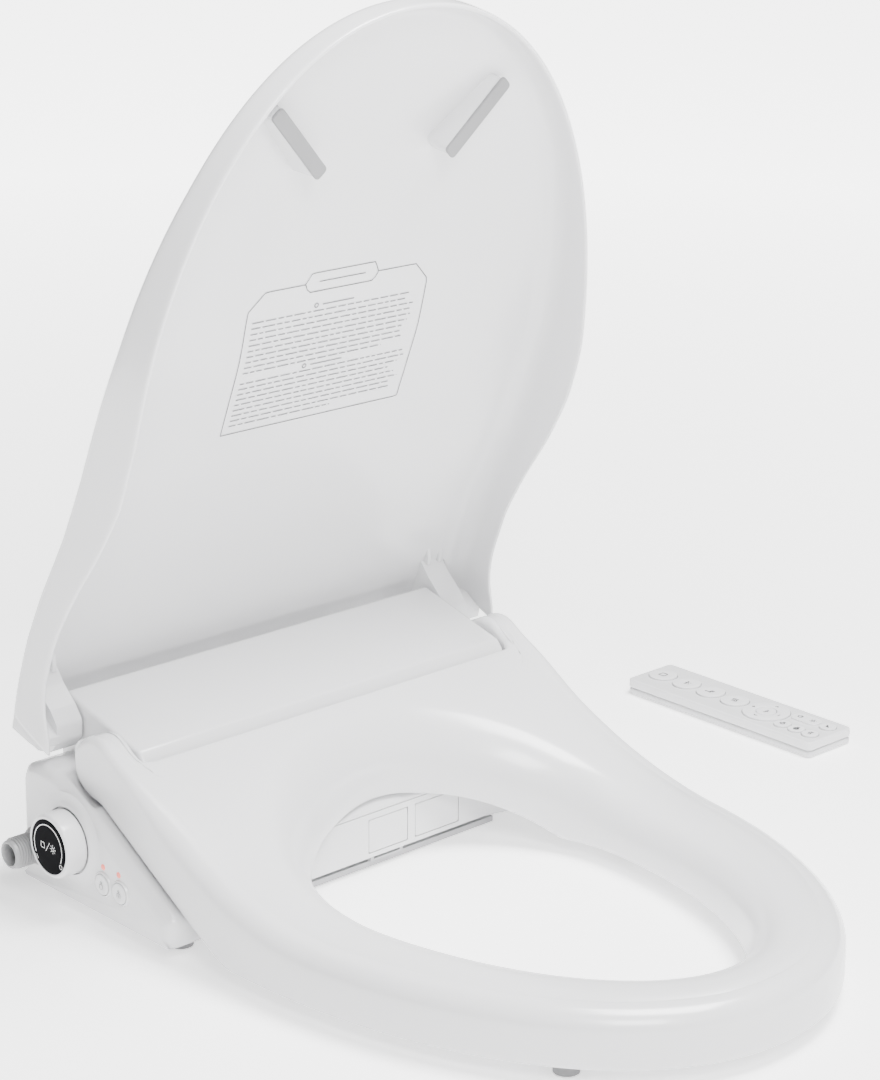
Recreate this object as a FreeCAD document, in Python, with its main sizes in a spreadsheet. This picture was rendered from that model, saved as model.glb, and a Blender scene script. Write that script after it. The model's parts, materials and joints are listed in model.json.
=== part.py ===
import FreeCAD, Part
import math
import os
import Sketcher

# Electric bidet seat with its mounting plate and hand-held remote, in millimetres.
# +Z is up, the front of the seat faces -Y, and the knob and the water inlet are on the -X side.
# The origin is midway between the two bowl bolts, on the surface that the seat rests on.

DIMENSIONS = {
    # seat ring
    "seat_half_width": 181.0, "seat_hinge_half_width": 178.0, "seat_widest_at": -158.0, "seat_tip": -447.0,
    "seat_underside": 10.0, "seat_top": 48.0, "seat_rear_top": 108.0, "seat_rear_edge": -51.5,
    "hole_half_width": 113.0, "hole_widest_at": -197.0, "hole_front": -392.0, "hole_rear": -91.0,
    "seat_wall": 3.0, "seat_axis_y": -28.0, "seat_axis_z": 99.0, "seat_arm_radius": 21.0, "seat_arm_width": 20.0,
    # lid, drawn closed
    "lid_front_half_width": 188.0, "lid_rear_half_width": 193.5, "lid_widest_at": -160.0, "lid_tip": -453.0,
    "lid_wall": 2.5, "lid_rear": 50.0, "lid_rim": 34.0, "lid_axis_y": 28.0, "lid_axis_z": 110.0,
    "lid_open_angle": 78.9, "lid_ear_radius": 17.5, "lid_ear_inner": 158.0, "lid_ear_outer": 187.0,
    # base
    "casing_half_width": 156.0, "casing_front": -50.0, "casing_rear": 38.0, "panel_face": -93.0,
    "panel_flat_half_width": 98.0, "panel_half_width": 128.0, "panel_bend": 8.5, "panel_top": 40.0,
    "wing_half_width": 189.0, "wing_front": -117.0, "wing_rear": 38.0, "wing_deck": 90.5, "wing_gap": 1.0,
    "base_underside": 9.0, "base_wall": 3.0, "pin_radius": 5.0, "running_gap": 0.05,
    # mounting plate
    "plate_half_width": 110.0, "plate_front": -88.0, "plate_rear": 26.0, "plate_underside": 0.0,
    "plate_thickness": 4.0, "bolt_spacing": 150.0, "bolt_hole_radius": 4.5, "bolt_slot_length": 40.0,
    # controls and water inlet on the left wing
    "knob_y": -16.0, "knob_z": 51.0, "knob_radius": 21.0, "knob_face_x": -206.0, "knob_push": 2.0,
    "button_z": 32.0, "button_front_y": -68.0, "button_rear_y": -50.0, "button_radius": 6.8,
    "inlet_y": 22.5, "inlet_z": 34.0, "inlet_radius": 10.48, "inlet_end": -210.0, "inlet_bore_radius": 7.0,
    # spray nozzle and dryer
    "nozzle_x": 10.0, "nozzle_z": 20.0, "nozzle_slope": 14.0, "nozzle_radius": 4.5, "nozzle_setback": 22.0,
    "door_half_width": 17.0, "door_low": 12.5, "door_high": 35.5, "flap_x": 53.5, "flap_half_width": 19.5,
    # remote
    "remote_x": 380.0, "remote_y": -70.0, "remote_length": 181.0, "remote_width": 48.0, "remote_height": 12.0,
    "key_rise": 1.2, "key_gap": 0.25, "dial_radius": 17.0, "pill_radius": 5.35,
}

Vector = FreeCAD.Vector
Rotation = FreeCAD.Rotation

doc = FreeCAD.newDocument("bidet_seat")
sheet = doc.addObject("Spreadsheet::Sheet", "dims")
kept = []


class Size:
    """A length that keeps its number together with the expression that the document works it out by."""

    def __init__(self, number, text):
        self.number = number
        self.text = text

    def __add__(self, other):
        other = as_size(other)
        return Size(self.number + other.number, f"({self.text} + {other.text})")

    def __sub__(self, other):
        other = as_size(other)
        return Size(self.number - other.number, f"({self.text} - {other.text})")

    def __mul__(self, other):
        other = as_size(other)
        return Size(self.number * other.number, f"({self.text} * {other.text})")

    def __truediv__(self, other):
        other = as_size(other)
        return Size(self.number / other.number, f"({self.text} / {other.text})")

    def __neg__(self):
        return self * -1

    __radd__ = __add__
    __rmul__ = __mul__


def as_size(value):
    """A plain number as a Size."""
    if isinstance(value, Size):
        return value
    return Size(float(value), f"({float(value)})")


def fill_sheet():
    """Write each driving dimension to the sheet and return them by name."""
    sizes = {}
    for row, (name, number) in enumerate(DIMENSIONS.items(), start=1):
        sheet.set(f"A{row}", name)
        sheet.set(f"B{row}", str(number))
        sheet.setAlias(f"B{row}", name)
        sizes[name] = Size(number, f"dims.{name}")
    doc.recompute()
    return sizes


def bind(item, **sizes):
    """Give an object's properties their sizes, each bound to the sheet."""
    for name, size in sizes.items():
        item.setExpression(name, as_size(size).text)


def put(item, x, y, z, turn=Rotation()):
    """Place an object, with its position bound to the sheet."""
    spot = [as_size(value) for value in (x, y, z)]
    item.Placement = FreeCAD.Placement(Vector(*[size.number for size in spot]), turn)
    for axis, size in zip("xyz", spot):
        item.setExpression(f"Placement.Base.{axis}", size.text)


def keep(item):
    """List an object as a sub-part that gets its own file."""
    kept.append(item)
    return item


def block(label, x, y, z):
    """A box between two limits along each axis."""
    item = doc.addObject("Part::Box", label)
    bind(item, Length=as_size(x[1]) - x[0], Width=as_size(y[1]) - y[0], Height=as_size(z[1]) - z[0])
    put(item, x[0], y[0], z[0])
    return item


def rod(label, axis, start, end, at, radius):
    """A cylinder along one axis; at is its place on the other two axes, in X, Y, Z order."""
    turn = {"X": Rotation(Vector(0, 1, 0), 90), "Y": Rotation(Vector(1, 0, 0), -90), "Z": Rotation()}[axis]
    spot = {"X": (start, *at), "Y": (at[0], start, at[1]), "Z": (*at, start)}[axis]
    item = doc.addObject("Part::Cylinder", label)
    bind(item, Radius=radius, Height=as_size(end) - start)
    put(item, *spot, turn)
    return item


def fuse(label, *pieces):
    """Several objects joined, or grouped where they do not touch."""
    item = doc.addObject("Part::MultiFuse", label)
    item.Shapes = list(pieces)
    return item


def cut(label, base, *tools):
    """An object with others cut from it."""
    item = doc.addObject("Part::Cut", label)
    item.Base = base
    item.Tool = tools[0] if len(tools) == 1 else fuse(f"{label}_tools", *tools)
    return item


def new_body(label):
    return doc.addObject("PartDesign::Body", label)


# the origin plane across each axis, and which way its normal points along that axis
PLANES = {"X": ("YZ_Plane", 1), "Y": ("XZ_Plane", -1), "Z": ("XY_Plane", 1)}


def new_sketch(body, axis, level):
    """A sketch across an axis, at a level along it, in the body's own frame."""
    role, sign = PLANES[axis]
    plane = next(item for item in body.Origin.OriginFeatures if item.Role == role)
    offset = as_size(level) * sign
    sketch = body.newObject("Sketcher::SketchObject", f"{body.Name}_sketch")
    sketch.AttachmentSupport = [(plane, "")]
    sketch.MapMode = "FlatFace"
    sketch.AttachmentOffset = FreeCAD.Placement(Vector(0, 0, offset.number), Rotation())
    sketch.setExpression("AttachmentOffset.Base.z", offset.text)
    return sketch


def draw_polygon(sketch, corners):
    """A closed polygon, each corner held at its distances from the origin."""
    corners = [(as_size(across), as_size(along)) for across, along in corners]
    ends = [Vector(across.number, along.number, 0) for across, along in corners]
    first = sketch.GeometryCount
    for start, end in zip(ends, ends[1:] + ends[:1]):
        sketch.addGeometry(Part.LineSegment(start, end), False)
    for index in range(len(corners)):
        follower = first + (index + 1) % len(corners)
        sketch.addConstraint(Sketcher.Constraint("Coincident", first + index, 2, follower, 1))
    for index, corner in enumerate(corners, start=first):
        for kind, size in zip(("DistanceX", "DistanceY"), corner):
            row = sketch.addConstraint(Sketcher.Constraint(kind, -1, 1, index, 1, size.number))
            sketch.setExpression(f"Constraints[{row}]", size.text)


def draw_circle(sketch, centre, radius):
    """A circle held by its centre and radius."""
    across, along, radius = (as_size(value) for value in (*centre, radius))
    middle = Vector(across.number, along.number, 0)
    index = sketch.addGeometry(Part.Circle(middle, Vector(0, 0, 1), radius.number), False)
    for kind, size in (("DistanceX", across), ("DistanceY", along)):
        row = sketch.addConstraint(Sketcher.Constraint(kind, -1, 1, index, 3, size.number))
        sketch.setExpression(f"Constraints[{row}]", size.text)
    row = sketch.addConstraint(Sketcher.Constraint("Radius", index, radius.number))
    sketch.setExpression(f"Constraints[{row}]", radius.text)


def extrude(body, kind, axis, low, high, draw, *shape):
    """Pad or pocket one outline of a body between two levels along an axis."""
    sign = PLANES[axis][1]
    starts_low = (kind == "Pad") == (sign > 0)
    sketch = new_sketch(body, axis, low if starts_low else high)
    draw(sketch, *shape)
    feature = body.newObject(f"PartDesign::{kind}", f"{body.Name}_{kind.lower()}")
    feature.Profile = sketch
    bind(feature, Length=as_size(high) - low)
    return feature


def pad(body, axis, low, high, corners):
    return extrude(body, "Pad", axis, low, high, draw_polygon, corners)


def pocket(body, axis, low, high, corners):
    return extrude(body, "Pocket", axis, low, high, draw_polygon, corners)


def drill(body, axis, low, high, centre, radius):
    return extrude(body, "Pocket", axis, low, high, draw_circle, centre, radius)


def rectangle(low, high):
    """The corners of a rectangle from its lowest and highest corner."""
    return [low, (high[0], low[1]), high, (low[0], high[1])]


def oblong(body, kind, low, high, centre, length, radius):
    """Pad or pocket a slot outline along X with round ends, on a plane across Z."""
    sketch = new_sketch(body, "Z", low if kind == "Pad" else high)
    centre = [as_size(value) for value in centre]
    reach = as_size(length) / 2 - radius
    radius = as_size(radius)
    left = Vector(centre[0].number - reach.number, centre[1].number, 0)
    right = Vector(centre[0].number + reach.number, centre[1].number, 0)
    rise = Vector(0, radius.number, 0)
    up = Vector(0, 0, 1)
    sketch.addGeometry(Part.LineSegment(left - rise, right - rise), False)
    sketch.addGeometry(Part.ArcOfCircle(Part.Circle(right, up, radius.number), -math.pi / 2, math.pi / 2), False)
    sketch.addGeometry(Part.LineSegment(right + rise, left + rise), False)
    sketch.addGeometry(Part.ArcOfCircle(Part.Circle(left, up, radius.number), math.pi / 2, 3 * math.pi / 2), False)
    for edge, end, follower, start in ((0, 2, 1, 1), (1, 2, 2, 1), (2, 2, 3, 1), (3, 2, 0, 1)):
        sketch.addConstraint(Sketcher.Constraint("Tangent", edge, end, follower, start))
    sketch.addConstraint(Sketcher.Constraint("Horizontal", 0))
    held = (("DistanceX", 1, centre[0] + reach), ("DistanceY", 1, centre[1]), ("DistanceX", 3, centre[0] - reach))
    for name, index, size in held:
        row = sketch.addConstraint(Sketcher.Constraint(name, -1, 1, index, 3, size.number))
        sketch.setExpression(f"Constraints[{row}]", size.text)
    row = sketch.addConstraint(Sketcher.Constraint("Radius", 1, radius.number))
    sketch.setExpression(f"Constraints[{row}]", radius.text)
    feature = body.newObject(f"PartDesign::{kind}", f"{body.Name}_{kind.lower()}")
    feature.Profile = sketch
    bind(feature, Length=as_size(high) - low)


def shaped(label, shape, placement=None):
    """A sub-part whose shape is worked out here, then placed."""
    item = doc.addObject("Part::Feature", label)
    item.Shape = shape
    if placement:
        item.Placement = placement
    return keep(item)


def superellipse(half_width, reach, power, steps=16):
    """Points of a quarter of a superellipse, from its side to its end."""
    points = []
    for step in range(steps + 1):
        angle = math.pi / 2 * step / steps
        across = half_width * max(math.cos(angle), 0.0) ** (2 / power)
        points.append((across, reach * math.sin(angle) ** (2 / power)))
    return points


def half_oval(half_width, widest_at, end, power):
    """A smooth edge from the right side round one end to the left side."""
    quarter = superellipse(half_width, abs(end - widest_at), power)
    way = 1 if end > widest_at else -1
    right = [Vector(across, widest_at + way * along, 0) for across, along in quarter]
    left = [Vector(-point.x, point.y, 0) for point in reversed(right[:-1])]
    curve = Part.BSplineCurve()
    curve.interpolate(Points=right + left, InitialTangent=Vector(0, way, 0), FinalTangent=Vector(0, -way, 0))
    return curve.toShape()


def ring_part(edges, low, high):
    """A prism of a closed outline between two heights."""
    face = Part.Face(Part.Wire(edges))
    face.translate(Vector(0, 0, low))
    return face.extrude(Vector(0, 0, high - low))


def lines(points):
    """Straight edges through points."""
    return [Part.makeLine(start, end) for start, end in zip(points, points[1:])]


def side_prism(half_width, edges):
    """A closed outline in the YZ plane, extruded both ways along X."""
    face = Part.Face(Part.Wire(edges))
    face.translate(Vector(-half_width, 0, 0))
    return face.extrude(Vector(2 * half_width, 0, 0))


def yz(y, z):
    return Vector(0, y, z)


dims = fill_sheet()
num = {name: size.number for name, size in dims.items()}
gap = dims["running_gap"]
wall = dims["base_wall"]
pin = dims["pin_radius"]
door_pin = 0.7
floor_top = dims["base_underside"] + wall
SEAT_SLOPE = 0.533


# ---- seat ring ----

def seat_outline(inset):
    """The outer plan of the seat with its two hinge arms, drawn in by an inset."""
    width = num["seat_half_width"] - inset
    back = num["seat_hinge_half_width"] - inset
    widest = num["seat_widest_at"]
    rear = num["seat_axis_y"]
    front = half_oval(width, widest, num["seat_tip"] + inset, 2.12)
    slot = num["casing_front"]
    rest = [(-width, widest), (-back, slot), (-back, rear), (back, rear), (back, slot), (width, widest)]
    return [front] + lines([Vector(x, y, 0) for x, y in rest])


def seat_hole(inset):
    """The opening of the seat, made larger by an inset."""
    width = num["hole_half_width"] + inset
    widest = num["hole_widest_at"]
    front = half_oval(width, widest, num["hole_front"] - inset, 2.0)
    rear = half_oval(width, widest, num["hole_rear"] + inset, 2.0)
    return [front, rear]


def seat_bottom_line(y):
    """Height of the seat's lower edge, which rises towards the hinge."""
    rise = SEAT_SLOPE * (y - num["seat_widest_at"])
    return num["seat_underside"] + max(rise, 0)


def seat_side(drop):
    """The seat's side view; drop lowers its top surface."""
    axis = num["seat_axis_y"]
    front = num["seat_tip"] - 10
    top = num["seat_top"] - drop
    crest = num["seat_axis_z"] + num["seat_arm_radius"] - drop
    climb = [yz(-300, top), yz(-250, top + 0.6), yz(-200, top + 4), yz(-150, top + 16), yz(-100, top + 37)]
    shoulder = yz(num["seat_rear_edge"], num["seat_rear_top"] - drop)
    slope = Part.BSplineCurve()
    slope.interpolate(Points=climb + [shoulder], InitialTangent=yz(1, 0), FinalTangent=yz(2, 1))
    widest = num["seat_widest_at"]
    low = num["seat_underside"]
    around = [shoulder, yz(axis - 12, crest - 3), yz(axis, crest), yz(axis, seat_bottom_line(axis))]
    around += [yz(widest, low), yz(front, low), yz(front, top), climb[0]]
    return side_prism(200, [slope.toShape()] + lines(around))


def casing_clearance():
    """The space that the seat leaves for the casing between its arms."""
    half = num["seat_hinge_half_width"] - num["seat_arm_width"]
    edge = num["seat_rear_edge"]
    corners = [yz(20, 0), yz(20, 140), yz(edge, 140), yz(edge, 87), yz(-96, 43.5), yz(-96, 0), yz(20, 0)]
    return side_prism(half, lines(corners))


def seat_arm_bosses(radius):
    """The two round bosses at the ends of the seat's arms."""
    inner = num["seat_hinge_half_width"] - num["seat_arm_width"]
    spot = yz(num["seat_axis_y"], num["seat_axis_z"])
    right = Part.makeCylinder(radius, num["seat_arm_width"], spot + Vector(inner, 0, 0), Vector(1, 0, 0))
    left = Part.makeCylinder(radius, num["seat_arm_width"], spot - Vector(inner, 0, 0), Vector(-1, 0, 0))
    return right.fuse(left)


def build_seat():
    thick = num["seat_wall"]
    outer = ring_part(seat_outline(0), 0, 130).cut(ring_part(seat_hole(0), 0, 130)).common(seat_side(0))
    inner = ring_part(seat_outline(thick), -5, 130).cut(ring_part(seat_hole(thick), -5, 130))
    edge = num["seat_rear_edge"] - thick
    hollow = inner.common(seat_side(thick)).common(Part.makeBox(400, 500, 140, Vector(-200, edge - 500, -5)))
    bore = seat_arm_bosses(num["pin_radius"] + num["running_gap"])
    shell = outer.cut(casing_clearance()).fuse(seat_arm_bosses(num["seat_arm_radius"])).cut(hollow).cut(bore)
    shaped("seat_top_shell", shell)

    # the cover closes the seat from below, up to where the casing's slope begins
    side = thick + 0.3
    ring = ring_part(seat_outline(side), 0, 130).cut(ring_part(seat_hole(side), 0, 130))
    widest, low = num["seat_widest_at"], num["seat_underside"]
    rear = num["panel_face"] - 4
    lift = 2.5
    front = num["seat_tip"]
    band = [yz(front, low), yz(widest, low), yz(rear, seat_bottom_line(rear))]
    upper = [yz(point.y, point.z + lift) for point in reversed(band)]
    cover = ring.common(side_prism(200, lines(band + upper + band[:1])))
    shaped("seat_bottom_cover", cover)

    heater = ring_part(seat_outline(18), 0, 60).cut(ring_part(seat_hole(18), 0, 60))
    level = num["seat_top"] - thick - 3
    sheet_box = Part.makeBox(400, 260, 1.2, Vector(-200, -470, level))
    shaped("seat_heater", heater.common(sheet_box))

    spots = [(104, -372), (140, -190)]
    pucks = []
    for x, y in spots:
        for side_x in (-x, x):
            pucks.append(rod("seat_bumper", "Z", 0, dims["seat_underside"], (side_x, y), 8))
    keep(fuse("seat_bumpers", *pucks))


# ---- lid ----

def lid_placement():
    """The lid turned from closed to where it leans open."""
    centre = Vector(0, num["lid_axis_y"], num["lid_axis_z"])
    turn = Rotation(Vector(1, 0, 0), -num["lid_open_angle"])
    return FreeCAD.Placement(Vector(0, 0, 0), turn, centre)


def lid_outline(inset):
    """The lid's plan drawn in by an inset at its sides and tip."""
    width = num["lid_front_half_width"] + 2 - inset
    back = num["lid_rear_half_width"] - inset
    widest = num["lid_widest_at"]
    rear = num["lid_rear"] + max(inset, 0) * 4
    front = half_oval(width, widest, num["lid_tip"] + inset, 2.12)
    rest = [(-width, widest), (-back, -40), (-back, rear), (back, rear), (back, -40), (width, widest)]
    return [front] + lines([Vector(x, y, 0) for x, y in rest])


def lid_crown(drop):
    """The lid's top line in side view as one smooth edge, from the tip to the rear edge."""
    points = [yz(-460, 56), yz(-430, 66), yz(-350, 74), yz(-220, 82), yz(-140, 98)]
    points += [yz(-50, 123), yz(36, 140), yz(70, 147)]
    curve = Part.BSplineCurve()
    curve.interpolate([yz(point.y, point.z - drop) for point in points])
    return curve.toShape(), points[0] - yz(0, drop), points[-1] - yz(0, drop)


def build_lid():
    thick = num["lid_wall"]
    crown, front, back = lid_crown(0)
    low = num["lid_rim"]
    rim = [back, yz(48, 122), yz(36, 92), yz(34, 71), yz(10, 87), yz(-20, 92), yz(-55, 85), yz(-90, 70)]
    rim += [yz(-125, 53), yz(-160, 40), yz(-200, low), yz(-460, low), front]
    outer = ring_part(lid_outline(0), 0, 200).common(side_prism(200, [crown] + lines(rim)))
    inner_crown, inner_front, inner_back = lid_crown(thick + 1)
    below = [inner_back, yz(70, 0), yz(-460, 0), inner_front]
    inner = ring_part(lid_outline(thick), -5, 200).common(side_prism(200, [inner_crown] + lines(below)))
    notch = lines([yz(30, 60), yz(30, 80), yz(14, 119), yz(14, 170), yz(90, 170), yz(90, 60), yz(30, 60)])
    corners = side_prism(200, notch).cut(side_prism(150, notch))
    shaped("lid_shell", outer.cut(inner).cut(corners), lid_placement())

    bore = pin + gap
    for side, sign in (("left", -1), ("right", 1)):
        arm = new_body(f"lid_hinge_arm_{side}")
        limits = sorted([dims["lid_ear_inner"] * sign, dims["lid_ear_outer"] * sign], key=lambda size: size.number)
        axis = (dims["lid_axis_y"], dims["lid_axis_z"])
        extrude(arm, "Pad", "X", *limits, draw_circle, axis, dims["lid_ear_radius"])
        stem = [(axis[0] - 17, axis[1]), (axis[0] + 15, axis[1]), (axis[0] + 12, axis[1] + 23)]
        pad(arm, "X", *limits, stem + [(axis[0] - 14, axis[1] + 22.3), (axis[0] - 34, axis[1] + 18.6)])
        drill(arm, "X", limits[0] - 1, limits[1] + 1, axis, bore)
        arm.Placement = lid_placement()
        keep(arm)

    # oblong pads that rest on the seat's front, splayed in a V
    pads = new_body("lid_pads")
    for sign in (-1, 1):
        middle = Vector(sign * 72, -370)
        run = Vector(-sign * 20, 21)
        side = Vector(21, sign * 20) / 4
        corners = [middle - run - side, middle + run - side, middle + run + side, middle - run + side]
        pad(pads, "Z", 49, 65.5, [(corner.x, corner.y) for corner in corners])
    pads.Placement = lid_placement()
    keep(pads)


build_seat()
build_lid()


# ---- mounting plate and casing ----

def build_plate():
    plate = new_body("mounting_plate")
    low = dims["plate_underside"]
    top = low + dims["plate_thickness"]
    half = dims["plate_half_width"]
    pad(plate, "Z", low, top, rectangle((-half, dims["plate_front"]), (half, dims["plate_rear"])))
    for rail in (half - 6, -half):
        pad(plate, "Z", top, top + 4, rectangle((rail, -60), (rail + 6, 20)))
    for side in (-1, 1):
        centre = (dims["bolt_spacing"] / 2 * side, 0)
        oblong(plate, "Pocket", low, top, centre, dims["bolt_slot_length"], dims["bolt_hole_radius"])
    keep(plate)


def build_tray():
    tray = new_body("bottom_tray")
    low = dims["base_underside"]
    half = dims["casing_half_width"] + 0.5
    front = dims["panel_face"] + 3
    rear = dims["casing_rear"]
    pad(tray, "Z", low, 30.5, rectangle((-half, front), (half, rear)))
    pocket(tray, "Z", floor_top, 31, rectangle((-half + wall, front - 1), (half - wall, rear - wall)))
    for spot in (-dims["plate_half_width"] - 6, dims["plate_half_width"] + 2):
        pad(tray, "Z", 5, low, rectangle((spot, -60), (spot + 4, 20)))
    drill(tray, "X", -half - 1, -half + wall + 1, (20, 24), 4.2)
    keep(tray)


def build_top_casing():
    casing = new_body("top_casing")
    half = dims["casing_half_width"]
    front, rear, face = dims["casing_front"], dims["casing_rear"], dims["panel_face"]
    seam = 31
    slope_low = dims["panel_top"] + 2.2
    outside = [(rear, seam), (rear, 123), (rear - 6, 130.2), (front + 5, 109.6), (front, 105), (front, 84)]
    lip = [(face, slope_low), (face, slope_low - 1.4), (face + 3.2, slope_low - 1.4), (face + 3.2, seam)]
    pad(casing, "X", -half, half, outside + lip)
    inside = [(rear - wall, seam - 5), (rear - wall, 121.8), (rear - 7.4, 126.8), (front + 6, 106.6)]
    inside += [(front + wall, 103.6), (front + wall, 82.8), (face + wall, 41), (face + wall, seam - 5)]
    pocket(casing, "X", -half + wall, half - wall, inside)
    for axis in ("seat", "lid"):
        drill(casing, "X", -half - 1, half + 1, (dims[f"{axis}_axis_y"], dims[f"{axis}_axis_z"]), pin + gap)
    keep(casing)


def wing_profile():
    """Side view of a wing: flat bottom, long slope under the seat and a deck under the lid's ears."""
    front, rear, deck = dims["wing_front"], dims["wing_rear"], dims["wing_deck"]
    low = dims["base_underside"]
    outside = [(front, low), (front, 28.2), (-6, 87.4), (2, deck), (22, deck), (rear - 4, deck - 4)]
    outside += [(rear, deck - 12), (rear, low)]
    inside = [(front + wall, low + wall), (front + wall, 26.3), (-34, 69), (-26, 73), (-2, 73), (5, deck - wall)]
    inside += [(20.5, deck - wall), (rear - 6, deck - 6.5), (rear - wall, deck - 13), (rear - wall, low + wall)]
    return outside, inside


def build_wing(name, sign):
    """One side panel, a shell that is open towards the middle of the base."""
    wing = new_body(name)
    outside, inside = wing_profile()
    near = dims["casing_half_width"] + dims["wing_gap"]
    far = dims["wing_half_width"]

    def span(low, high):
        """Limits along X, mirrored for the left wing."""
        return (low, high) if sign > 0 else (-high, -low)

    pad(wing, "X", *span(near, far), outside)
    panel_end = dims["panel_half_width"] + 0.3
    low = dims["base_underside"]
    bend = dims["panel_face"] - dims["panel_bend"]
    toe = [(near * sign, dims["wing_front"] + 4), (panel_end * sign, bend), (panel_end * sign, -90)]
    toe = toe + [(near * sign, -90)]
    pad(wing, "Z", low, 31, toe)
    pocket(wing, "X", *span(near - 0.5, far - wall), inside)
    channel = rectangle((-50, 76), (-5, 100))
    pocket(wing, "X", *span(near - 0.5, far - 6.5), channel)
    return wing


def build_left_wing():
    wing = build_wing("side_panel_left", -1)
    outer = -dims["wing_half_width"]
    knob = (dims["knob_y"], dims["knob_z"])
    extrude(wing, "Pad", "X", outer - 1.5, outer + 1, draw_circle, knob, dims["knob_radius"] + 3)
    drill(wing, "X", outer - 2, outer, knob, dims["knob_radius"] + 1)
    drill(wing, "X", outer - 2, outer + 4, knob, pin + gap)
    for y in (dims["button_front_y"], dims["button_rear_y"]):
        drill(wing, "X", outer - 2, outer + 4, (y, dims["button_z"]), dims["button_radius"] + 0.3)
    for y in (-66, -50):
        drill(wing, "X", outer - 2, outer + 4, (y, 43.5), 1.6)
    drill(wing, "X", outer - 2, outer + 4, (dims["inlet_y"], dims["inlet_z"]), dims["inlet_radius"] + 1)
    keep(wing)


def build_right_wing():
    wing = build_wing("side_panel_right", 1)
    outer = dims["wing_half_width"]
    drill(wing, "X", outer - 4, outer + 2, (-30, 24), 9.3)
    drill(wing, "X", outer - 4, outer + 2, (18, 24), 6)
    keep(wing)


def build_front_panel():
    panel = new_body("front_panel")
    face, thick = dims["panel_face"], 2.6
    flat, half, bend = dims["panel_flat_half_width"], dims["panel_half_width"], dims["panel_bend"]
    outer = [(-half, face - bend), (-flat, face), (flat, face), (half, face - bend)]
    inner = [(half, face - bend + thick), (flat, face + thick), (-flat, face + thick), (-half, face - bend + thick)]
    low, top = dims["base_underside"], dims["panel_top"]
    pad(panel, "Z", low, top, outer + inner)
    openings = ((dims["nozzle_x"], dims["door_half_width"]), (dims["flap_x"], dims["flap_half_width"]))
    for centre, half_width in openings:
        hole = rectangle((centre - half_width - 0.4, 12), (centre + half_width + 0.4, 36))
        pocket(panel, "Y", face - 10, face + thick + 1, hole)
        ends = (centre - half_width - 2, centre + half_width + 2)
        drill(panel, "X", *ends, (face + 1.2, dims["door_high"] - 1.3), door_pin + gap)
    keep(panel)


def build_base_trim():
    feet = []
    for x in (-165, 165):
        for y in (-96, 12):
            feet.append(rod("base_foot", "Z", 0, dims["base_underside"], (x, y), 8))
    keep(fuse("base_feet", *feet))
    spout = block("spout_block", (-4, 24), (-91.5, -64), (5, dims["base_underside"]))
    channel = block("spout_channel", (-1.5, 21.5), (-92, -66), (6.5, 10))
    keep(cut("drain_spout", spout, channel))
    outer = dims["wing_half_width"]
    collar = rod("gland_collar", "X", outer - 8, outer + 3, (18, 24), 5.9)
    keep(cut("cord_gland", collar, rod("gland_hole", "X", outer - 4, outer + 4, (18, 24), 3.6)))
    button = rod("release_cap", "X", outer - 6, outer + 1, (-30, 24), 9)
    keep(fuse("release_button", button, block("release_stem", (outer - 24, outer - 6), (-34, -26), (20, 28))))
    pins = []
    for side in ("seat", "lid"):
        reach = 177 if side == "seat" else 186
        for start, end in ((-reach, -138), (138, reach)):
            spot = (dims[f"{side}_axis_y"], dims[f"{side}_axis_z"])
            pins.append(rod(f"{side}_pin", "X", start, end, spot, pin))
    keep(fuse("hinge_pins", *pins))


# ---- water, spray nozzle and dryer ----

def build_water_parts():
    outer = -dims["wing_half_width"]
    at = (dims["inlet_y"], dims["inlet_z"])
    stub = rod("inlet_stub", "X", dims["inlet_end"], outer, at, dims["inlet_radius"])
    neck = rod("inlet_neck", "X", outer, outer + 5, at, dims["inlet_radius"] - 0.5)
    flange = rod("inlet_flange", "X", outer + 3.2, outer + 6, at, 12.3)
    bore = rod("inlet_bore", "X", dims["inlet_end"] - 1, outer + 4, at, dims["inlet_bore_radius"])
    keep(cut("water_inlet", fuse("inlet_body", stub, neck, flange), bore))
    valve = block("valve_body", (outer + 6, -159), (8, 30), (14, 48))
    coil = rod("valve_coil", "Z", 48, 68, (-171, 18), 9)
    keep(fuse("solenoid_valve", valve, coil))
    tank = block("heater_tank", (-112, -45), (-16, 30), (14, 82))
    neck = rod("heater_neck", "X", -118, -112, (20, 24), 6)
    keep(fuse("instant_heater", tank, neck))
    motor = rod("pump_motor", "X", -96, -60, (-55, 30), 15)
    head = block("pump_head", (-118, -96), (-72, -38), (14, 46))
    keep(fuse("water_pump", motor, head))
    supply = rod("supply_hose", "X", -159, -118, (20, 24), 4)
    transfer = rod("transfer_hose", "Y", -38, -16, (-104, 30), 4)
    keep(fuse("water_hoses", supply, transfer))


def nozzle_placement():
    """The nozzle's own frame: -Y runs down along its slope, from where its line crosses the front panel."""
    spot = Vector(num["nozzle_x"], num["panel_face"], num["nozzle_z"])
    return FreeCAD.Placement(spot, Rotation(Vector(1, 0, 0), num["nozzle_slope"]))


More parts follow.
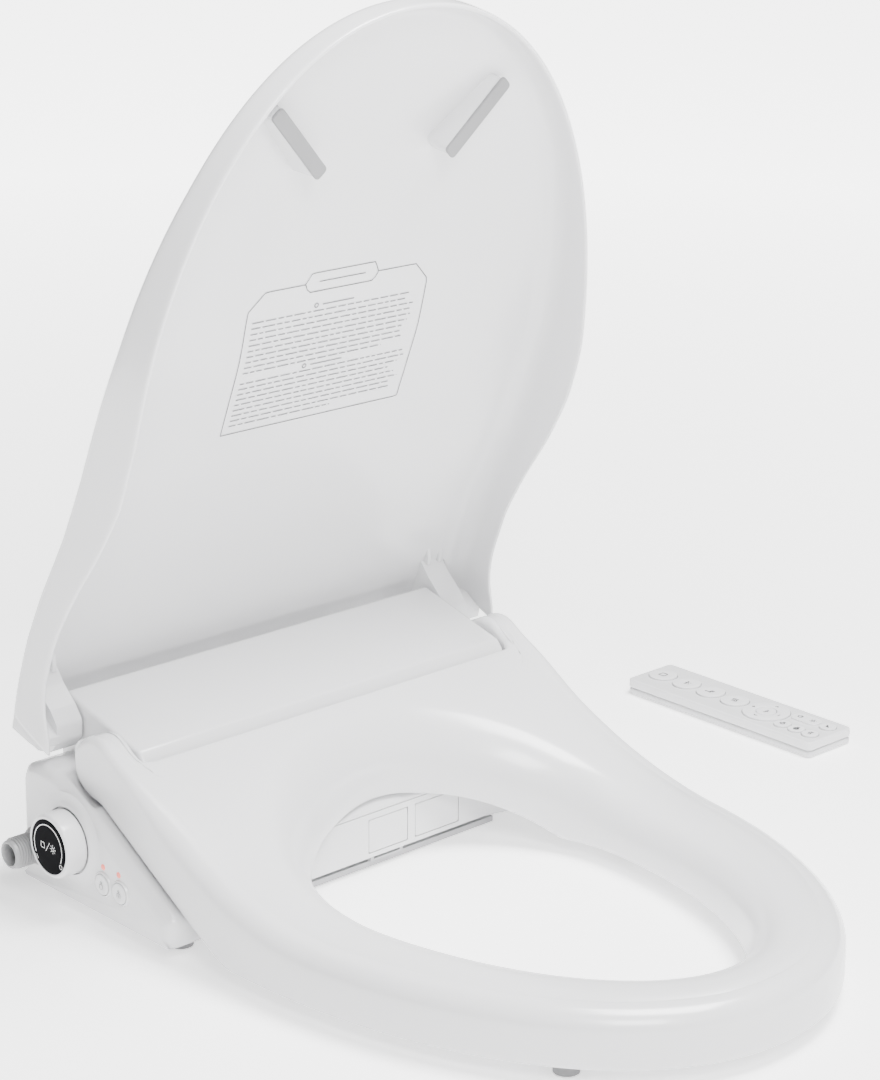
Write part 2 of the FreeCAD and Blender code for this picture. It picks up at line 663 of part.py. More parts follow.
def build_nozzle():
    radius = dims["nozzle_radius"]
    start = dims["nozzle_setback"]
    tip = new_body("nozzle_tip")
    extrude(tip, "Pad", "Y", start, start + 18, draw_circle, (0, 0), radius)
    drill(tip, "Z", 0, radius + 1, (0, start + 6), 1.0)
    tube = new_body("nozzle_tube")
    extrude(tube, "Pad", "Y", start + 18, 120, draw_circle, (0, 0), radius - 0.3)
    pad(tube, "Y", 98, 118, rectangle((-2.5, 3), (2.5, 9)))
    pad(tube, "Y", 94, 120, rectangle((-9, 9), (9, 12)))
    guide = new_body("nozzle_guide")
    pad(guide, "Y", 26, 122, rectangle((-11, -9), (11, 7)))
    drill(guide, "Y", 25, 123, (0, 0), radius + 0.6)
    pocket(guide, "Y", 25, 123, rectangle((-3.5, 0), (3.5, 8)))
    for part in (tip, tube, guide):
        part.Placement = nozzle_placement()
        keep(part)
    gearbox = block("motor_gearbox", (24, 34), (-24, 4), (26, 62))
    can = rod("motor_can", "X", 34, 52, (-10, 49), 12)
    keep(fuse("nozzle_motor", gearbox, can))


def build_door(name, centre, half_width):
    """A cover in the front panel, hung from its upper edge."""
    face = dims["panel_face"]
    low, high = dims["door_low"], dims["door_high"]
    side = (centre - half_width, centre + half_width)
    leaf = block(f"{name}_leaf", side, (face, face + 2), (low, high))
    hinge = rod(f"{name}_pin", "X", side[0] - 1.6, side[1] + 1.6, (face + 1.2, high - 1.3), door_pin)
    keep(fuse(name, leaf, hinge))


def build_dryer():
    duct = block("duct_outside", (dims["flap_x"] - 18, dims["flap_x"] + 18), (-89, -34), (13, 35))
    air = block("duct_inside", (dims["flap_x"] - 16, dims["flap_x"] + 16), (-90, -33), (15, 33))
    keep(cut("dryer_duct", duct, air))
    coil = block("heater_frame", (dims["flap_x"] - 15.5, dims["flap_x"] + 15.5), (-60, -40), (15.5, 32.5))
    slots = [block("heater_slot", (x, x + 5), (-61, -39), (18, 30)) for x in (40.5, 47.5, 54.5, 61.5)]
    keep(cut("dryer_heater", coil, *slots))
    spot = (88, 0)
    scroll = rod("scroll_outside", "Z", 13, 43, spot, 32)
    throat = block("scroll_throat", (dims["flap_x"] - 17, dims["flap_x"] + 17), (-33.8, -4), (13, 35))
    cavity = rod("scroll_inside", "Z", 15, 41, spot, 30)
    passage = block("throat_inside", (dims["flap_x"] - 15, dims["flap_x"] + 15), (-35, -5), (15, 33))
    intake = rod("scroll_intake", "Z", 40, 44, spot, 14)
    keep(cut("blower_housing", fuse("scroll_body", scroll, throat), cavity, passage, intake))
    motor = rod("blower_can", "Z", 46, 66, spot, 13)
    shaft = rod("blower_shaft", "Z", 24, 46, spot, 2)
    brackets = [block("blower_leg", (x, x + 4), (-4, 4), (43, 48)) for x in (88 - 22, 88 + 18)]
    bridge = block("blower_bridge", (66, 110), (-4, 4), (48, 50))
    keep(fuse("blower_motor", motor, shaft, bridge, *brackets))
    hub = rod("impeller_hub", "Z", 18, 36, spot, 7)
    disc = rod("impeller_disc", "Z", 17, 19, spot, 25)
    vanes = []
    for index in range(12):
        vane = doc.addObject("Part::Box", "impeller_vane")
        bind(vane, Length=14, Width=1.6, Height=15)
        angle = index * 30
        turn = Rotation(Vector(0, 0, 1), angle)
        corner = turn.multVec(Vector(10, -0.8, 0))
        put(vane, spot[0] + corner.x, spot[1] + corner.y, 19, turn)
        vanes.append(vane)
    wheel = fuse("impeller_wheel", hub, disc, *vanes)
    keep(cut("blower_impeller", wheel, rod("impeller_bore", "Z", 16, 37, spot, 2 + gap)))


def build_electronics():
    board = block("board_plate", (-30, 60), (-20, 30), (78, 79.6))
    chips = [block("board_chip", (x, x + 14), (-6, 10), (79.6, 84)) for x in (-20, 6, 34)]
    keep(fuse("control_board", board, *chips))
    supply = block("supply_case", (108, 150), (-84, -36), (14, 40))
    tall = block("supply_rear", (124, 150), (-36, 30), (14, 60))
    keep(fuse("power_supply", supply, tall))
    seat_spot = (dims["seat_axis_y"], dims["seat_axis_z"])
    lid_spot = (dims["lid_axis_y"], dims["lid_axis_z"])
    seat_damper = rod("seat_damper", "X", 90, 138, seat_spot, 9)
    lid_damper = rod("lid_damper", "X", -138, -90, lid_spot, 6.5)
    keep(fuse("hinge_dampers", seat_damper, lid_damper))
    outer = -dims["wing_half_width"]
    leds = [rod("status_led", "X", outer - 0.3, outer + 4, (y, 43.5), 1.5) for y in (-66, -50)]
    led_board = block("led_board", (outer + 4, outer + 5.6), (-70, -42), (40, 47))
    keep(fuse("status_leds", led_board, *leds))


# ---- controls on the left wing ----

def build_controls():
    at = (dims["knob_y"], dims["knob_z"])
    face = dims["knob_face_x"]
    outer = -dims["wing_half_width"]
    shaft = rod("spindle_shaft", "X", face + 3, -164, at, pin)
    stop = rod("spindle_stop", "X", outer + 3.2, outer + 6, at, pin + 3)
    keep(fuse("knob_spindle", shaft, stop))
    cap = rod("knob_cap", "X", face, outer - 2.4, at, dims["knob_radius"])
    recess = rod("knob_recess", "X", face - 1, face + 2, at, dims["knob_radius"] - 3)
    socket = rod("knob_socket", "X", face + 1.9, outer, at, pin + gap)
    keep(cut("knob_body", cap, recess, socket))
    keep(rod("knob_face", "X", face + 0.4, face + 2, at, dims["knob_radius"] - 3))
    for name in ("front", "rear"):
        spot = (dims[f"button_{name}_y"], dims["button_z"])
        keep(rod(f"side_button_{name}", "X", outer - 1.8, outer + 5, spot, dims["button_radius"]))


# ---- remote ----

def remote_ring(body, kind, low, high, inset):
    """Pad or pocket the remote's rounded outline, drawn in by an inset."""
    sketch = new_sketch(body, "Z", low if kind == "Pad" else high)
    half = (dims["remote_width"] / 2 - inset, dims["remote_length"] / 2 - inset)
    low_corner = (dims["remote_x"] - half[0], dims["remote_y"] - half[1])
    high_corner = (dims["remote_x"] + half[0], dims["remote_y"] + half[1])
    draw_polygon(sketch, rectangle(low_corner, high_corner))
    feature = body.newObject(f"PartDesign::{kind}", f"{body.Name}_{kind.lower()}")
    feature.Profile = sketch
    bind(feature, Length=as_size(high) - low)


def remote_keys():
    """Each round key: its name, its offset across, its distance from the top end, its radius and its lip."""
    lip = 0.9
    keys = [(f"remote_key_{number}", 0.0, 14.9 + 24.37 * (number - 1), 10.0, lip) for number in range(1, 5)]
    keys.append(("remote_select_key", 0.0, 118.9, 7.5, 0.0))
    for number, down in enumerate((143.2, 156.6, 169.5), start=5):
        keys.append((f"remote_key_{number}", -10.0, down, 5.35, lip))
    keys.append(("remote_key_8", 10.0, 169.5, 5.35, lip))
    return keys


def key_spot(across, down):
    """Where a key stands, from its place on the remote."""
    return dims["remote_x"] + across, dims["remote_y"] + dims["remote_length"] / 2 - down


def pill(label, low, high, radius):
    """A key shape with round ends, along the remote's length."""
    ends = [key_spot(10, 149.5 + shift) for shift in (-6.15, 6.15)]
    caps = [rod(f"{label}_end", "Z", low, high, end, radius) for end in ends]
    radius = as_size(radius)
    middle = block(f"{label}_middle", (ends[0][0] - radius, ends[0][0] + radius), (ends[1][1], ends[0][1]), (low, high))
    return fuse(label, middle, *caps)


def build_remote_case():
    top = dims["remote_height"]
    seam = 6.5
    skin = 2
    space = dims["key_gap"]
    back = new_body("remote_case_back")
    remote_ring(back, "Pad", 0, seam, 0)
    remote_ring(back, "Pocket", skin, seam + 1, skin)
    x, y = dims["remote_x"], dims["remote_y"]
    pocket(back, "Z", -1, skin + 0.5, rectangle((x - 15, y - 80), (x + 15, y - 18)))
    keep(back)
    keep(block("remote_battery_door", (x - 14.8, x + 14.8), (y - 79.8, y - 18.2), (0, skin)))
    keep(rod("remote_battery", "Z", skin, 5.3, (x, y - 50), 10))
    keep(block("remote_board", (x - 20, x + 20), (y - 86, y + 86), (5.4, 7)))
    front = new_body("remote_case_front")
    remote_ring(front, "Pad", seam, top, 0)
    remote_ring(front, "Pocket", seam - 1, top - skin, skin)
    under = top - skin - 1
    over = top + 1
    for name, across, down, radius, lip in remote_keys():
        drill(front, "Z", under, over, key_spot(across, down), as_size(radius) + space)
    drill(front, "Z", under, over, key_spot(0, 118.9), dims["dial_radius"] + space)
    reach = dims["pill_radius"] + space
    ends = [key_spot(10, 149.5 + shift) for shift in (-6.15, 6.15)]
    for end in ends:
        drill(front, "Z", under, over, end, reach)
    pocket(front, "Z", under, over, rectangle((ends[1][0] - reach, ends[1][1]), (ends[0][0] + reach, ends[0][1])))
    keep(front)


def build_remote_keys():
    top = dims["remote_height"]
    low = top - 3
    high = top + dims["key_rise"]
    lip_low = top - 3.6
    lip_high = top - 2.4
    for name, across, down, radius, lip in remote_keys():
        spot = key_spot(across, down)
        cap = rod(f"{name}_cap", "Z", low, high, spot, radius)
        keep(fuse(name, cap, rod(f"{name}_lip", "Z", lip_low, lip_high, spot, as_size(radius) + lip)))
    spot = key_spot(0, 118.9)
    dial = fuse("dial_body", rod("dial_cap", "Z", low, high, spot, dims["dial_radius"]),
                rod("dial_lip", "Z", lip_low, lip_high, spot, dims["dial_radius"] + 0.9))
    keep(cut("remote_dial_ring", dial, rod("dial_hole", "Z", lip_low - 1, high + 1, spot, 7.9)))
    cap = pill("pill_cap", low, high, dims["pill_radius"])
    keep(fuse("remote_pill_key", cap, pill("pill_lip", lip_low, lip_high, dims["pill_radius"] + 0.9)))


build_plate()
build_tray()
build_top_casing()
build_left_wing()
build_right_wing()
build_front_panel()
build_base_trim()
build_water_parts()
build_nozzle()
build_door("nozzle_door", dims["nozzle_x"], dims["door_half_width"])
build_door("dryer_flap", dims["flap_x"], dims["flap_half_width"])
build_dryer()
build_electronics()
build_controls()
build_remote_case()
build_remote_keys()
doc.recompute()

for item in doc.Objects:
    if "Invalid" in item.State or "Error" in item.State:
        raise RuntimeError(f"{item.Label} did not compute: {item.State}")
for item in kept:
    if item.Shape.isNull() or not item.Shape.isValid():
        raise RuntimeError(f"{item.Label} has no valid shape")

os.makedirs("parts", exist_ok=True)
for item in kept:
    item.Shape.exportStep(f"parts/{item.Label}.step")
print(len(kept), "sub-parts")
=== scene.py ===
import json
import math

import bpy
import bmesh
import numpy as np
from mathutils import Matrix, Vector


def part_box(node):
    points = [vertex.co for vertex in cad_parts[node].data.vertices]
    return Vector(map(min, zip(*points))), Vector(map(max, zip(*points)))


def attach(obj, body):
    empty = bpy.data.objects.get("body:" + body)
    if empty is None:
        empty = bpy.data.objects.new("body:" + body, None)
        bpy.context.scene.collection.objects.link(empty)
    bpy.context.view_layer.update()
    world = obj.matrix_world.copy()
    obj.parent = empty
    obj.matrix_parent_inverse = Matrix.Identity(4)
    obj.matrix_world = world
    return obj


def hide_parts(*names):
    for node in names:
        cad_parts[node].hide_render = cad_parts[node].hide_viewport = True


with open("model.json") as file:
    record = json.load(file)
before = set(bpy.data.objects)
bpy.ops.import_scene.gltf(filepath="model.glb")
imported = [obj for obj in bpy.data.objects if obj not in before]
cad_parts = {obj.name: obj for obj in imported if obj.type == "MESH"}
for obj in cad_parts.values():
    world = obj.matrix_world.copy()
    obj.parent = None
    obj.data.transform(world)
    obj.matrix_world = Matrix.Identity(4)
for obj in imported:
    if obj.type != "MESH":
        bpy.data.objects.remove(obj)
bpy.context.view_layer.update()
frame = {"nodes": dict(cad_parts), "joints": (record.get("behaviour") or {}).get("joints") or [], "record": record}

# All lengths below are in millimetres, in the CAD frame: the seat's front faces -Y, the knob is at -X.
MM = 0.001
record = frame["record"]
JOINTS = {joint["name"]: joint for joint in frame["joints"]}
SIDES = (("left", -1), ("right", 1))
OVAL_POWER = 2.12


def node_box(node):
    """Lowest and highest corner of a CAD node, in millimetres."""
    low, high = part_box(node)
    return np.array(low) / MM, np.array(high) / MM


def box_middle(node, axes):
    """The middle of a CAD node's box along some axes, with 0 along the others, in millimetres."""
    low, high = node_box(node)
    middle = np.zeros(3)
    for axis in axes:
        middle[axis] = (low[axis] + high[axis]) / 2
    return middle


def joint_place(name):
    """Where a hinge stands, in millimetres."""
    return np.array(JOINTS[name]["pos_m"]) / MM


def add_object(name, data):
    """A new object in the scene."""
    thing = bpy.data.objects.new(name, data)
    bpy.context.scene.collection.objects.link(thing)
    return thing


def set_inputs(node, **values):
    """Set a node's inputs that nothing is linked to; an underscore stands for a space in a name."""
    for name, value in values.items():
        node.inputs[name.replace("_", " ")].default_value = value


def rectangle(low, high):
    """The corners of an upright rectangle, in order."""
    return [(low[0], low[1]), (high[0], low[1]), (high[0], high[1]), (low[0], high[1])]


def new_material(name):
    """A material, its shader, and its collections of nodes and links."""
    material = bpy.data.materials.new(name)
    material.use_nodes = True
    tree = material.node_tree
    return material, tree.nodes["Principled BSDF"], tree.nodes, tree.links


# ---- camera and light ----

def make_camera():
    """The photographer's stand point: left of the seat's front and a little above it."""
    azimuth, elevation, roll = (math.radians(angle) for angle in (-42.81, 17.84, 0.25))
    back = Vector((math.sin(azimuth) * math.cos(elevation), -math.cos(azimuth) * math.cos(elevation),
                   math.sin(elevation)))
    right = Vector((0, 0, 1)).cross(back).normalized()
    up = back.cross(right)
    side = math.cos(roll) * right + math.sin(roll) * up
    top = -math.sin(roll) * right + math.cos(roll) * up
    data = bpy.data.cameras.new("camera")
    data.sensor_width = 36
    data.lens = 96.06
    data.clip_start = 0.05
    camera = add_object("camera", data)
    turn = Matrix((side, top, back)).transposed().to_4x4()
    camera.matrix_world = Matrix.Translation(Vector((-1151.3, -1395.3, 786.0)) * MM) @ turn
    bpy.context.scene.camera = camera


def make_light(name, place, target, power, size):
    """A square soft box that points at a target."""
    data = bpy.data.lights.new(name, "AREA")
    data.energy = power
    data.size = size
    light = add_object(name, data)
    light.location = place
    light.rotation_euler = (Vector(target) - Vector(place)).to_track_quat("-Z", "Y").to_euler()


def make_stage():
    """A pale floor that glows, dimmer near the seat as painted shade round it, a near-white surround and two soft
    boxes.
    """
    world = bpy.data.worlds.new("surround")
    world.use_nodes = True
    set_inputs(world.node_tree.nodes["Background"], Color=(1, 1, 1, 1), Strength=0.3)
    bpy.context.scene.world = world
    make_light("key_light", (-1.0, -1.9, 1.8), (0, -0.15, 0.15), 75, 0.9)
    make_light("top_light", (0.4, -0.6, 2.2), (0, -0.25, 0.1), 165, 1.1)
    size, sunk = 6.0, -0.0006
    mesh = bpy.data.meshes.new("floor")
    corners = rectangle((-size, -size), (size, size))
    mesh.from_pydata([(x, y, sunk) for x, y in corners], [], [(0, 1, 2, 3)])
    floor = add_object("floor", mesh)
    material, shader, nodes, links = new_material("floor_paper")
    set_inputs(shader, Base_Color=(0.93, 0.93, 0.93, 1), Roughness=0.9, Emission_Color=(1, 1, 1, 1))
    # The floor's glow grows with distance from the middle: weak near the seat and strong far off, a painted darker
    # zone round the seat.
    place = nodes.new("ShaderNodeTexCoord")
    distance = nodes.new("ShaderNodeVectorMath")
    distance.operation = "LENGTH"
    links.new(place.outputs["Object"], distance.inputs[0])
    glow = nodes.new("ShaderNodeMapRange")
    set_inputs(glow, From_Min=0.5, From_Max=2.4, To_Min=1.0, To_Max=5.0)
    links.new(distance.outputs["Value"], glow.inputs["Value"])
    links.new(glow.outputs["Result"], shader.inputs["Emission Strength"])
    mesh.materials.append(material)


make_camera()
make_stage()


# ---- materials ----

def plastic(name, colour, roughness, spread=0.05, grain=900.0, bump=0.02, coat=0.0, tint=0.02, metallic=0.0,
            shine=0.5):
    """Moulded plastic, rubber or metal: a fine grain in its relief, and slow changes of tone and gloss."""
    material, shader, nodes, links = new_material(name)
    set_inputs(shader, Metallic=metallic, Coat_Weight=coat, Coat_Roughness=0.12, IOR=1.52,
               Specular_IOR_Level=shine)
    place = nodes.new("ShaderNodeTexCoord")

    cloud = nodes.new("ShaderNodeTexNoise")
    set_inputs(cloud, Scale=9.0, Detail=3.0)
    links.new(place.outputs["Object"], cloud.inputs["Vector"])
    tone = nodes.new("ShaderNodeValToRGB")
    tone.color_ramp.elements[0].position = 0.3
    tone.color_ramp.elements[1].position = 0.7
    tone.color_ramp.elements[0].color = (*[value * (1 - tint) for value in colour], 1)
    tone.color_ramp.elements[1].color = (*colour, 1)
    links.new(cloud.outputs["Fac"], tone.inputs["Fac"])
    links.new(tone.outputs["Color"], shader.inputs["Base Color"])

    gloss = nodes.new("ShaderNodeMapRange")
    set_inputs(gloss, To_Min=roughness - spread, To_Max=roughness + spread)
    links.new(cloud.outputs["Fac"], gloss.inputs["Value"])
    links.new(gloss.outputs["Result"], shader.inputs["Roughness"])

    skin = nodes.new("ShaderNodeTexNoise")
    set_inputs(skin, Scale=grain, Detail=2.0)
    links.new(place.outputs["Object"], skin.inputs["Vector"])
    relief = nodes.new("ShaderNodeBump")
    set_inputs(relief, Strength=bump, Distance=0.0004)
    links.new(skin.outputs["Fac"], relief.inputs["Height"])
    links.new(relief.outputs["Normal"], shader.inputs["Normal"])
    return material


def lamp_material():
    """A red indicator lens that glows a little, brighter in its middle tones."""
    material = plastic("lamp_lens", (0.85, 0.16, 0.12), 0.25, tint=0.1)
    set_inputs(material.node_tree.nodes["Principled BSDF"], Emission_Color=(1.0, 0.25, 0.2, 1),
               Emission_Strength=0.55)
    return material


WHITE = plastic("gloss_white", (0.66, 0.66, 0.67), 0.24, bump=0.012, coat=0.25, tint=0.012)
SATIN = plastic("satin_white", (0.6, 0.6, 0.61), 0.42, bump=0.04, tint=0.015)
KEY_WHITE = plastic("key_white", (0.7, 0.7, 0.71), 0.33, bump=0.02, tint=0.01)
PAD_GREY = plastic("pad_grey", (0.22, 0.22, 0.225), 0.62, grain=1600.0, bump=0.12, tint=0.05)
LIGHT_GREY = plastic("light_grey", (0.4, 0.4, 0.41), 0.45, bump=0.06, tint=0.04)
DARK_GREY = plastic("dark_grey", (0.06, 0.06, 0.065), 0.5, bump=0.08, tint=0.1)
BLACK = plastic("gloss_black", (0.003, 0.003, 0.004), 0.3, spread=0.03, bump=0.005, tint=0.2, shine=0.01)
SEAM = plastic("seam_shadow", (0.12, 0.12, 0.125), 0.8, tint=0.1)
PRINT = plastic("print_grey", (0.04, 0.04, 0.045), 0.6, tint=0.1)
PALE_PRINT = plastic("print_pale", (0.16, 0.16, 0.17), 0.6, tint=0.06)
MARK = plastic("mark_white", (0.8, 0.8, 0.8), 0.5, tint=0.03)
STEEL = plastic("steel", (0.62, 0.62, 0.63), 0.3, grain=300.0, bump=0.03, metallic=1.0)
BOARD = plastic("circuit_board", (0.02, 0.14, 0.06), 0.4, grain=500.0, bump=0.1, tint=0.15)
HOSE = plastic("silicone_hose", (0.7, 0.7, 0.68), 0.5, bump=0.05)
THREAD = plastic("thread_grey", (0.28, 0.28, 0.285), 0.35, tint=0.03)
LAMP = lamp_material()

SLOT_MATERIALS = {
    "white_shell": WHITE, "white_trim": SATIN, "grey_pad": PAD_GREY, "black_face": BLACK,
    "light_grey": LIGHT_GREY, "dark_grey": DARK_GREY, "steel": STEEL, "board": BOARD, "lamp": LAMP,
    "hose": HOSE,
}
NODE_SLOTS = {part["node"]: part["material_slot"] for part in record["subparts"]}


def dress_frame():
    """Give every CAD node its procedural material."""
    for name, node in frame["nodes"].items():
        node.data.materials.clear()
        node.data.materials.append(SLOT_MATERIALS[NODE_SLOTS[name]])


dress_frame()


# ---- mesh tools ----

def make_piece(name, points, faces, material, body, nodes=(), divide=0, sharp=None):
    """A mesh piece from points in millimetres, riding on a body and standing for CAD nodes."""
    mesh = bpy.data.meshes.new(name)
    mesh.from_pydata([tuple(float(value) * MM for value in point) for point in points], [], faces)
    work = bmesh.new()
    work.from_mesh(mesh)
    bmesh.ops.remove_doubles(work, verts=work.verts, dist=2e-6)
    bmesh.ops.recalc_face_normals(work, faces=work.faces)
    work.to_mesh(mesh)
    work.free()
    piece = add_object(name, mesh)
    mesh.materials.append(material)
    for face in mesh.polygons:
        face.use_smooth = True
    if sharp:
        mesh.set_sharp_from_angle(angle=sharp)
    if divide:
        smooth = piece.modifiers.new("smooth", "SUBSURF")
        smooth.levels = divide
        smooth.render_levels = divide
    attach(piece, body)
    if nodes:
        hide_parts(*nodes)
    return piece


def ring_faces(rows, count, closed_rows=False):
    """Faces of a stack of closed rings with the same number of points."""
    faces = []
    last = rows if closed_rows else rows - 1
    for row in range(last):
        below, above = row * count, (row + 1) % rows * count
        for step in range(count):
            after = (step + 1) % count
            faces.append((below + step, below + after, above + after, above + step))
    return faces


def grid_faces(rows, columns, base=0):
    """Faces of a grid of points, counted from its first point."""
    return [(first, first + 1, first + columns + 1, first + columns) for row in range(rows - 1)
            for first in range(base + row * columns, base + (row + 1) * columns - 1)]


def strip_faces(above, below):
    """Faces between two rows of point numbers."""
    return list(zip(above, above[1:], below[1:], below))


def round_edges(piece, width, steps):
    """Round a piece's sharp edges by a width in millimetres."""
    bevel = piece.modifiers.new("round", "BEVEL")
    bevel.width = width * MM
    bevel.segments = steps
    bevel.limit_method = "ANGLE"
    bevel.angle_limit = math.radians(30)


def thicken(piece, width):
    """Give an open skin a wall behind it, in millimetres."""
    wall = piece.modifiers.new("wall", "SOLIDIFY")
    wall.thickness = width * MM
    wall.offset = -1


def on_axis(axis, level, across, along):
    """A point at a level along an axis, with its two other measures in order."""
    return {"X": (level, across, along), "Y": (across, level, along), "Z": (across, along, level)}[axis]


def prism(name, outline, low, high, axis, material, body, nodes=(), round_by=0.0, steps=3):
    """A solid of one outline between two levels along an axis, with its edges rounded."""
    count = len(outline)
    points = []
    for level in (low, high):
        points.extend(on_axis(axis, level, across, along) for across, along in outline)
    faces = [tuple(range(count)), tuple(range(2 * count - 1, count - 1, -1))] + ring_faces(2, count)
    piece = make_piece(name, points, faces, material, body, nodes, sharp=math.radians(35))
    if round_by:
        round_edges(piece, round_by, steps)
    return piece


def lathe(name, profile, centre, axis, material, body, nodes=(), count=64):
    """A turned piece: profile pairs of radius and level along an axis, outwards from a centre."""
    points = []
    for radius, level in profile:
        for step in range(count):
            angle = 2 * math.pi * step / count
            spot = on_axis(axis, level, radius * math.cos(angle), radius * math.sin(angle))
            points.append(np.array(spot) + centre)
    faces = ring_faces(len(profile), count)
    return make_piece(name, points, faces, material, body, nodes, sharp=math.radians(40))


def below(level, *pairs):
    """Part of a turned profile: pairs of a radius and a distance below a level."""
    return [(radius, level - drop) for radius, drop in pairs]


def fillet_profile(profile, radii, steps=5):
    """Round the corners of a polyline; radii gives each corner's radius, 0 to keep it sharp."""
    rounded = [profile[0]]
    for before, corner, after, radius in zip(profile, profile[1:], profile[2:], radii):
        before, corner, after = (np.array(point, float) for point in (before, corner, after))
        if not radius:
            rounded.append(tuple(corner))
            continue
        inward = (before - corner) / np.linalg.norm(before - corner)
        onward = (after - corner) / np.linalg.norm(after - corner)
        half = math.acos(np.clip(inward @ onward, -1, 1)) / 2
        reach = radius / math.tan(half)
        start, end = corner + inward * reach, corner + onward * reach
        for step in range(steps + 1):
            share = step / steps
            point = (1 - share) ** 2 * start + 2 * share * (1 - share) * corner + share ** 2 * end
            rounded.append(tuple(point))
    rounded.append(profile[-1])
    return rounded


def smooth_outline(corners, radius, steps=5):
    """A closed outline with every corner rounded."""
    radii = radius if isinstance(radius, (list, tuple)) else [radius] * len(corners)
    loop = [corners[-1]] + list(corners) + [corners[0]]
    return fillet_profile(loop, radii, steps)[1:-1]


def blend_share(value, start, end):
    """0 before start, 1 after end, smooth between."""
    share = np.clip((value - start) / (end - start), 0, 1)
    return share * share * (3 - 2 * share)


def resample(points, count):
    """Points spaced evenly along a polyline."""
    points = np.array(points, float)
    lengths = np.concatenate([[0], np.cumsum(np.linalg.norm(np.diff(points, axis=0), axis=1))])
    wanted = np.linspace(0, 1, count) * lengths[-1]
    return np.stack([np.interp(wanted, lengths, points[:, axis]) for axis in range(points.shape[1])], 1)


def oval_quarter(half_width, widest_at, tip, power, count):
    """The right half of a superellipse end, from its tip to its widest place."""
    angles = np.linspace(math.pi / 2, 0, 200)
    across = half_width * np.clip(np.cos(angles), 0, 1) ** (2 / power)
    along = widest_at + (tip - widest_at) * np.clip(np.sin(angles), 0, 1) ** (2 / power)
    return resample(np.stack([across, along], 1), count)


# ---- seat ring ----

seat_low, seat_high = node_box("seat_top_shell")
seat_axis = joint_place("seat_hinge")
HOLE = {"half_width": 113.0, "widest_at": -197.0, "front": -392.0, "rear": -91.0}
SEAT_WIDEST = -158.0
SEAT_FRONT_TOP = 48.0
SEAT_RISE_START = -235.0
SEAT_RISE_BLEND = 110.0
SEAT_RISE = 0.47
ARM_RADIUS = 21.0
SWEEP_GAP = 4.2
ARM_INNER = 158.0
SLOT_LINE = -51.5
SHOULDER_RUN, SHOULDER_FALL, ARM_ROUND = 15, 14, 5.5
EDGE_HEIGHT, EDGE_RISE = 10, 0.533
TUNNEL_HEIGHT, TUNNEL_RISE, TUNNEL_START = 46, 0.987, -93
TUNNEL_SIDE = (150, 157)
CROWN_DROP, CROWN_END = 2.2, (-120, -60)
CLOSING_START, CLOSING_SHARE = -100, 32.5 / 48.5


def seat_top(y):
    """Height of the seat's top surface along its length."""
    run = np.maximum(y - SEAT_RISE_START, 0)
    curve = np.where(run < SEAT_RISE_BLEND, run ** 2 / (2 * SEAT_RISE_BLEND), run - SEAT_RISE_BLEND / 2)
    slope = SEAT_FRONT_TOP + SEAT_RISE * curve
    axis_y, axis_z = seat_axis[1], seat_axis[2]
    disc = axis_z + np.sqrt(np.maximum(ARM_RADIUS ** 2 - (y - axis_y) ** 2, 0))
    onto = blend_share(y, SLOT_LINE, axis_y - 9)
    return slope * (1 - onto) + disc * onto


def seat_bottom(x, y):
    """Height of the seat's lower edge, raised in the middle where it passes over the casing."""
    slope = EDGE_HEIGHT + EDGE_RISE * np.maximum(y - SEAT_WIDEST, 0)
    axis_y, axis_z = seat_axis[1], seat_axis[2]
    disc = axis_z - np.sqrt(np.maximum(ARM_RADIUS ** 2 - (y - axis_y) ** 2, 0))
    onto = blend_share(y, axis_y - 12, axis_y)
    side = slope * (1 - onto) + disc * onto
    middle = TUNNEL_HEIGHT + TUNNEL_RISE * (y - TUNNEL_START)
    share = 1 - blend_share(np.abs(x), *TUNNEL_SIDE)
    return side + share * np.maximum(middle - side, 0) * (y < SLOT_LINE + 1)


def seat_half_outline():
    """The seat's edge on the right, from tip to side, hinge arm and slot, and its root points beside it."""
    half = seat_high[0]
    back = half - 3
    front = oval_quarter(half, SEAT_WIDEST, seat_low[1], OVAL_POWER, 46)
    side_y = np.linspace(SEAT_WIDEST, SLOT_LINE, 16)[1:]
    side_x = back + (half - back) * np.sin(math.pi / 2 * (SLOT_LINE - side_y) / (SLOT_LINE - SEAT_WIDEST))
    side = np.stack([side_x, side_y], 1)
    reach = [SLOT_LINE + (seat_axis[1] - SLOT_LINE) * share for share in (0.35, 0.7, 1.0)]
    reach += [seat_axis[1] + ARM_RADIUS * math.sin(math.radians(angle)) for angle in (18, 35, 50, 63, 75)]
    outer = np.array([(back, y) for y in reach])
    end = np.array([(x, reach[-1]) for x in np.linspace(back, ARM_INNER, 6)[1:-1]])
    inner = np.array([(ARM_INNER, y) for y in reversed(reach)])
    slot = np.array([(x, SLOT_LINE) for x in np.linspace(ARM_INNER, 0, 15)])
    edge = np.concatenate([front, side, outer, end, inner, slot])
    fan = len(outer) + len(end) + len(inner)
    root_fan = np.array([(x, SLOT_LINE) for x in np.linspace(back, ARM_INNER, fan + 2)[1:-1]])
    root = np.concatenate([front, side, root_fan, slot])
    return edge, root


def unit(rows):
    """Each row at a length of 1."""
    return rows / np.linalg.norm(rows, axis=1)[:, None]


def mirror_loop(half):
    """A closed loop from its right half, which starts and ends on the middle line."""
    left = half[-2:0:-1] * np.array([-1, 1])
    return np.concatenate([half, left])


def loop_normals(loop):
    """Outward direction at each point of a closed loop, longer at corners so that insets keep their width."""
    before = np.roll(loop, 1, axis=0)
    after = np.roll(loop, -1, axis=0)
    first, second = unit(loop - before), unit(after - loop)
    normal_one = np.stack([first[:, 1], -first[:, 0]], 1)
    normal_two = np.stack([second[:, 1], -second[:, 0]], 1)
    middle = unit(normal_one + normal_two)
    stretch = 1 / np.clip((middle * normal_one).sum(1), 0.7, 1)
    return middle * stretch[:, None]


